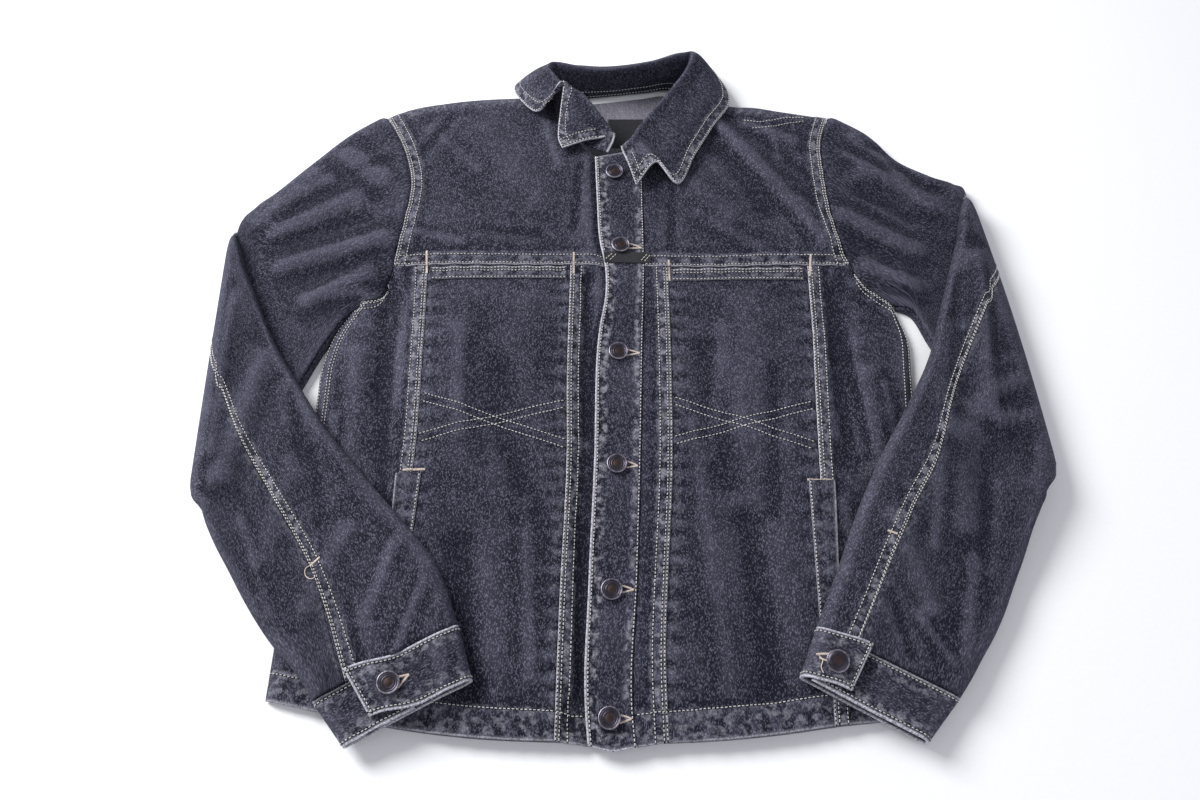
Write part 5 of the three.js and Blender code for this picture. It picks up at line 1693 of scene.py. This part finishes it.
class JACKET_OT_back(bpy.types.Operator):
    """Back panel and back yoke, flat on the table, with the bare label inside the neck"""

    bl_idname = "jacket.back"
    bl_label = "Back"

    def execute(self, context):
        cloth = size("cloth")
        inset = BACK_INSET
        top_y = BACK_YOKE_SEAM - SEAM_GAP
        left = shifted(joined(curve["leftSide"], stretch("leftArmhole", 95, top_y)), inset, 0)
        right = shifted(joined(curve["rightSide"], stretch("rightArmhole", 92, top_y)), -inset, 0)
        low, high = left(0.0), right(0.0)
        hem = shifted(span("hem", low[0], high[0]), 0, inset)
        panel = plan_of(left, right, hem, straight(left(1.0), right(1.0)))
        left_yoke = shifted(stretch("leftArmhole", BACK_YOKE_SEAM, 309), inset, 0)
        right_yoke = shifted(stretch("rightArmhole", BACK_YOKE_SEAM, 305), -inset, 0)
        shoulders = joined(
            shifted(curve["leftShoulder"], 0, -1.3 * inset), curve["backNeck"],
            shifted(curve["rightShoulder"], 0, -1.3 * inset)
        )
        yoke = plan_of(left_yoke, right_yoke, straight(left_yoke(0.0), right_yoke(0.0)), shoulders)
        for node, plan in (("back_panel", panel), ("back_yoke", yoke)):
            outer = raised(plan, lambda x, y: 0 * x + cloth)
            inner = outer * [1, 1, 0]
            dress(node, outer, cloth, [material("inside"), material("denim")], inner=inner)
        label_plan = strip_plan([[8, 284], [58, 286], [58, 322], [8, 322]])
        label = raised(label_plan, lambda x, y: 0 * x + cloth + LAY_GAP)
        up = label + [0, 0, size("ribbon")]
        dress("neck_label", up, 0, [material("ribbon")] * 2, inner=label)
        return {"FINISHED"}


class JACKET_OT_fronts(bpy.types.Operator):
    """Both fronts below and above the chest seam, with their folds and felled seams"""

    bl_idname = "jacket.fronts"
    bl_label = "Fronts"

    def execute(self, context):
        for node, (left, right, bottom, top, height) in front_panels().items():
            outer = raised(plan_of(left, right, bottom, top), height)
            FACES[node] = (outer, 1)
            dress(node, outer, size("cloth"), [material("denim"), material("inside")],
                  edges=FRONT_EDGES[node], laps=FRONT_ROPING[node])
        return {"FINISHED"}


class JACKET_OT_placket(bpy.types.Operator):
    """The placket over the button stand, and the bare ribbon tab on it"""

    bl_idname = "jacket.placket"
    bl_label = "Placket"

    def execute(self, context):
        doubled = size("doubled")
        left = shifted(stretch("placketEdge", -287, 256), UNDER_PLACKET + SEAM_GAP, 0)
        right = shifted(left, STAND_WIDTH, 0)
        plan = plan_of(left, right, straight(left(0.0), right(0.0)), straight(left(1.0), right(1.0)))
        stand = raised(plan, lambda x, y: smooth_front(x, y) + 0.6 - doubled - 1.4)
        dress("button_stand", stand, size("cloth"), [material("denim"), material("inside")])
        placket = raised(placket_plan(), placket_face)
        FACES["placket"] = (placket, 1)
        dress("placket", placket, doubled, [material("denim")] * 2,
              edges={"left": 1.0, "bottom": 0.8, "top": 0.4},
              laps={"left": (9, 1.0), "right": (6, 0.8), "bottom": (10, 0.8)})
        tab = raised(strip_plan([[4, 133], [47, 132], [47, 144], [3, 145]]),
                     lambda x, y: placket_face(x, y) + LAY_GAP)
        dress("placket_tab", tab + [0, 0, size("ribbon")], 0, [material("ribbon")] * 2,
              inner=tab)
        return {"FINISHED"}


class JACKET_OT_strips(bpy.types.Operator):
    """Pocket bands and welts, sewn flat onto the fronts"""

    bl_idname = "jacket.strips"
    bl_label = "Pocket bands and welts"

    def execute(self, context):
        for node, (corners, height, under) in STRIPS.items():
            low = raised(strip_plan(corners), lambda x, y: height(x, y) + LAY_GAP)
            high = low + [0, 0, size("trim")]
            FACES[node] = (high, 1)
            edges = {"bottom": 0.35, "top": 0.5} if "band" in node else {"left": 0.5, "right": 0.5}
            reach = {"bottom": (12, 0.45)} if "band" in node else {"left": (9, 0.3), "right": (9, 0.3)}
            dress(node, high, 0, [material("denim")] * 2, inner=low,
                  edges=edges, laps=reach)
        return {"FINISHED"}


class JACKET_OT_sleeves(bpy.types.Operator):
    """Both sleeves in two pieces each, from the armhole round the elbow and over the front"""

    bl_idname = "jacket.sleeves"
    bl_label = "Sleeves"

    def execute(self, context):
        for side in ("left", "right"):
            grids = sleeve_grids(side)
            middle = np.concatenate(list(grids.values())).mean(0)
            for part, outer in grids.items():
                node = f"sleeve_{side}_{part}"
                sign = facing(outer, middle)
                FACES[node] = (outer, sign)
                away = arcs(outer)
                uv = np.stack([away["left"], away["bottom"]], -1)
                edges = {"left": 1.0} if part == "top" else {}
                laps = {"left": (10.5, 0.8)} if part == "top" else {"right": (5, 0.3)}
                dress(node, outer, 0, [material("denim"), material("inside")],
                      uv=uv, edges=edges, laps=laps,
                      inner=offset_face(outer, size("cloth") * sign))
        return {"FINISHED"}


class JACKET_OT_cuffs(bpy.types.Operator):
    """Both cuffs, doubled strips that close with a button"""

    bl_idname = "jacket.cuffs"
    bl_label = "Cuffs"

    def execute(self, context):
        for cuff in CUFFS:
            node = "cuff_" + cuff["name"]
            outer = cuff_grid(cuff)
            sign = facing(outer, outer.mean(0))
            FACES[node] = (outer, sign)
            away = arcs(outer)
            uv = np.stack([away["bottom"], away["left"]], -1)
            dress(node, outer, 0, [material("denim")] * 2, uv=uv,
                  edges={"top": 1.0, "bottom": 0.85, "right": 0.9, "left": 0.6},
                  laps={"top": (9, 0.8), "bottom": (9, 0.7), "right": (8, 0.8)}, base=0.06,
                  inner=offset_face(outer, size("doubled") * sign))
        return {"FINISHED"}


class JACKET_OT_collar(bpy.types.Operator):
    """The collar, its stand and its fall in one doubled piece"""

    bl_idname = "jacket.collar"
    bl_label = "Collar"

    def execute(self, context):
        outer = collar_grid()
        FACES["collar"] = (outer, 1)
        away = arcs(outer)
        uv = np.stack([away["left"].mean(1, keepdims=True) + 0 * away["left"], away["bottom"]], -1)
        dress("collar", outer, size("doubled"), [material("denim")] * 2, uv=uv,
              edges={"top": 1.0, "left": 0.9, "right": 0.9},
              laps={"top": (10, 0.8), "left": (10, 0.6), "right": (10, 0.6)})
        return {"FINISHED"}


class JACKET_OT_buttons(bpy.types.Operator):
    """Six buttons on the placket and one on each cuff"""

    bl_idname = "jacket.buttons"
    bl_label = "Buttons"

    def execute(self, context):
        foot = BUTTON_RADIUS * 0.6
        for i, (x, y) in enumerate(FRONT_BUTTONS):
            ys = y + np.array([-foot, 0, foot])
            z = placket_face(np.full(3, float(x)), ys).max() + LAY_GAP
            button(f"button_front_{i + 1}", [x, y, z], tilt=0.05 * math.sin(i * 2.1), heading=i * 1.3)
        for cuff in CUFFS:
            node = "button_cuff_" + cuff["name"]
            (x0, y0, z0), (x1, y1, _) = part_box(node)
            x, y = (x0 + x1) / 2 / MM - SHIFT[0] / MM, (y0 + y1) / 2 / MM - SHIFT[1] / MM
            place, v = CUFF_BUTTONS[cuff["name"]]
            z = max(z0 / MM, cuff_top(cuff, place, v)[2] + LAY_GAP)
            domed = cuff["name"] == "right"
            button(node, [x, y, z], tilt=-0.16 if domed else 0.04, heading=0.9 if domed else 0, domed=domed)
        return {"FINISHED"}


class JACKET_OT_stitching(bpy.types.Operator):
    """Topstitching of the body, yokes, sleeves, cuffs and collar"""

    bl_idname = "jacket.stitching"
    bl_label = "Topstitching"

    def execute(self, context):
        rows_of = lambda rows: [
            row_in(node, side, away, start, end) for node, side, aways, start, end in rows for away in aways
        ]
        sew("stitching_fronts", rows_of(BODY_ROWS))
        crossed = []
        for node, ends in CROSSED_ROWS:
            run = np.array(ends[1], float) - ends[0]
            side = np.array([-run[1], run[0]]) / np.linalg.norm(run) * 3.5
            crossed += [drape(np.array(ends) + side * way, [node]) for way in (-1, 1)]
        t = np.linspace(0, 1, 20)
        shoulder = [drape(smooth_line(points)(t), ["front_yoke_right"]) for points in RIGHT_SHOULDER_ROWS]
        sew("stitching_yokes", rows_of(YOKE_ROWS) + crossed + shoulder)
        sleeves = []
        for side in ("left", "right"):
            turn = sleeve_stations(side)["turn"]
            start = np.argmax(turn > 0.55) / (len(turn) - 1)
            sleeves += [row_in(f"sleeve_{side}_top", "left", away, start) for away in (0.95, 2.8, 10)]
        sew("stitching_sleeves", sleeves)
        cuffs, collar = [], []
        for side in ("left", "right"):
            node = "cuff_" + side
            cuffs += [row_in(node, border, 3.2) for border in ("top", "bottom")]
            cuffs += [row_in(node, "right", 3.2, 0.06, 0.94)]
        sew("stitching_cuffs", cuffs)
        for away in (1.6, 9.6):
            collar += [row_in("collar", "top", away, 0.01, 0.99)]
            collar += [row_in("collar", side, away, 0.5, 0.97) for side in ("left", "right")]
        collar += [row_in("collar", "bottom", away, 0.3, 0.72) for away in (2.5, 8.5)]
        sew("stitching_collar", collar)
        return {"FINISHED"}


class JACKET_OT_tacks(bpy.types.Operator):
    """Bar tacks, buttonholes, the tab's corner stitches and loose thread ends"""

    bl_idname = "jacket.tacks"
    bl_label = "Tacks and buttonholes"

    def execute(self, context):
        rows = [(drape(points, FRONTS, 0.8), 2.5) for points in FRONT_TACKS]
        for start, tip in BUTTONHOLES:
            start, tip = np.array(start), np.array(tip)
            for way in (-1, 1):
                leg = np.array([start + [-1.2, way * 3.3], mix(start, tip, 0.6) + [0, way * 1.4], tip])
                rows.append((drape(leg, ["placket", "front_strip_right"], 0.5), 1.8))
        rows += [(drape(points, nodes, 0.5), wide) for points, nodes, wide in SLEEVE_TACKS]
        satin("tacks", rows)
        for i, (points, nodes) in enumerate(LOOSE_ENDS):
            line = drape(smooth_line(points)(np.linspace(0, 1, 24)), nodes, 0.7)
            loose_thread(f"thread_end_{i + 1}", line[:, :3] + line[:, 3:] * 0.5)
        tab = [drape(points, ["placket_tab"], 0.8) for points in (
            [(4.5, 136), (12, 143.6)], [(8, 134.6), (16, 143.4)],
            [(37, 134), (44, 142.8)], [(40.5, 133.6), (46.4, 141.4)],
        )]
        sew("stitching_tab", tab, "pale_thread", painted_thread_shade=False)
        return {"FINISHED"}


# The stage in metres: the floor, just under the jacket, and two soft discs of light that face the middle,
# each with its place, size, watts and tint
FLOOR_REACH, FLOOR_LEVEL = 4, -0.0004
LIGHTS = (
    ("window", (-1.5, 0.9, 1.35), 1.1, 64, "ffffff"),
    ("fill", (1.2, -1.5, 1.8), 2.2, 12, "f2f5ff"),
)
SKY_STRENGTH = 0.42
# The camera, in the drafting frame: it looks at the frame's origin from 868 mm, 62 degrees above the table
CAMERA, CAMERA_TILT = [0, -407.5, 766.4], 28
LENS, SENSOR = 30, 36


class JACKET_OT_stage(bpy.types.Operator):
    """Paper floor, soft studio light and the camera at the photograph's angle"""

    bl_idname = "jacket.stage"
    bl_label = "Stage"

    def execute(self, context):
        scene = context.scene
        mesh = bpy.data.meshes.new("paper_floor")
        reach = FLOOR_REACH
        plan = ((-reach, -reach), (reach, -reach), (reach, reach), (-reach, reach))
        corners = [(x, y, FLOOR_LEVEL) for x, y in plan]
        mesh.from_pydata(corners, [], [(0, 1, 2, 3)])
        mesh.materials.append(material("paper"))
        floor = bpy.data.objects.new("paper_floor", mesh)
        scene.collection.objects.link(floor)
        for name, place, size_m, energy, tint in LIGHTS:
            light = bpy.data.lights.new(name, "AREA")
            light.shape, light.size, light.energy, light.color = "DISK", size_m, energy, linear(tint)[:3]
            lamp = bpy.data.objects.new(name, light)
            lamp.location = place
            lamp.rotation_mode = "QUATERNION"
            lamp.rotation_quaternion = (-Vector(place)).to_track_quat("-Z", "Y")
            scene.collection.objects.link(lamp)
        world = bpy.data.worlds.new("studio")
        scene.world = world
        world.use_nodes = True
        sky = world.node_tree.nodes["Background"]
        sky.inputs[0].default_value = linear("f6f8ff")
        sky.inputs[1].default_value = SKY_STRENGTH
        scene.view_settings.view_transform = "Standard"
        camera = bpy.data.cameras.new("camera")
        camera.lens, camera.sensor_width = LENS, SENSOR
        view = bpy.data.objects.new("camera", camera)
        view.location = np.array(CAMERA) * MM + SHIFT
        view.rotation_euler = (math.radians(CAMERA_TILT), 0, 0)
        scene.collection.objects.link(view)
        scene.camera = view
        return {"FINISHED"}


class JACKET_PT_panel(bpy.types.Panel):
    """Sizes, colours and the pieces of the jacket"""

    bl_idname = "JACKET_PT_panel"
    bl_label = "Denim jacket"
    bl_space_type = "VIEW_3D"
    bl_region_type = "UI"
    bl_category = "Denim jacket"

    def draw(self, context):
        for group in (context.scene.jacket_sizes, context.scene.jacket_colours):
            for key in group.__annotations__:
                self.layout.prop(group, key)
        for piece in PIECES:
            self.layout.operator(piece.bl_idname)


PIECES = [
    JACKET_OT_stage, JACKET_OT_back, JACKET_OT_fronts, JACKET_OT_placket, JACKET_OT_strips, JACKET_OT_sleeves,
    JACKET_OT_cuffs, JACKET_OT_collar, JACKET_OT_buttons, JACKET_OT_stitching, JACKET_OT_tacks,
]
CLASSES = [JacketSizes, JacketColours, *PIECES, JACKET_PT_panel]


def register():
    for each in CLASSES:
        bpy.utils.register_class(each)
    bpy.types.Scene.jacket_sizes = bpy.props.PointerProperty(type=JacketSizes)
    bpy.types.Scene.jacket_colours = bpy.props.PointerProperty(type=JacketColours)


def unregister():
    del bpy.types.Scene.jacket_colours
    del bpy.types.Scene.jacket_sizes
    for each in reversed(CLASSES):
        bpy.utils.unregister_class(each)


def main():
    """Makes every piece in order."""
    register()
    for piece in PIECES:
        group, name = piece.bl_idname.split(".")
        getattr(getattr(bpy.ops, group), name)()


if __name__ == "__main__":
    main()
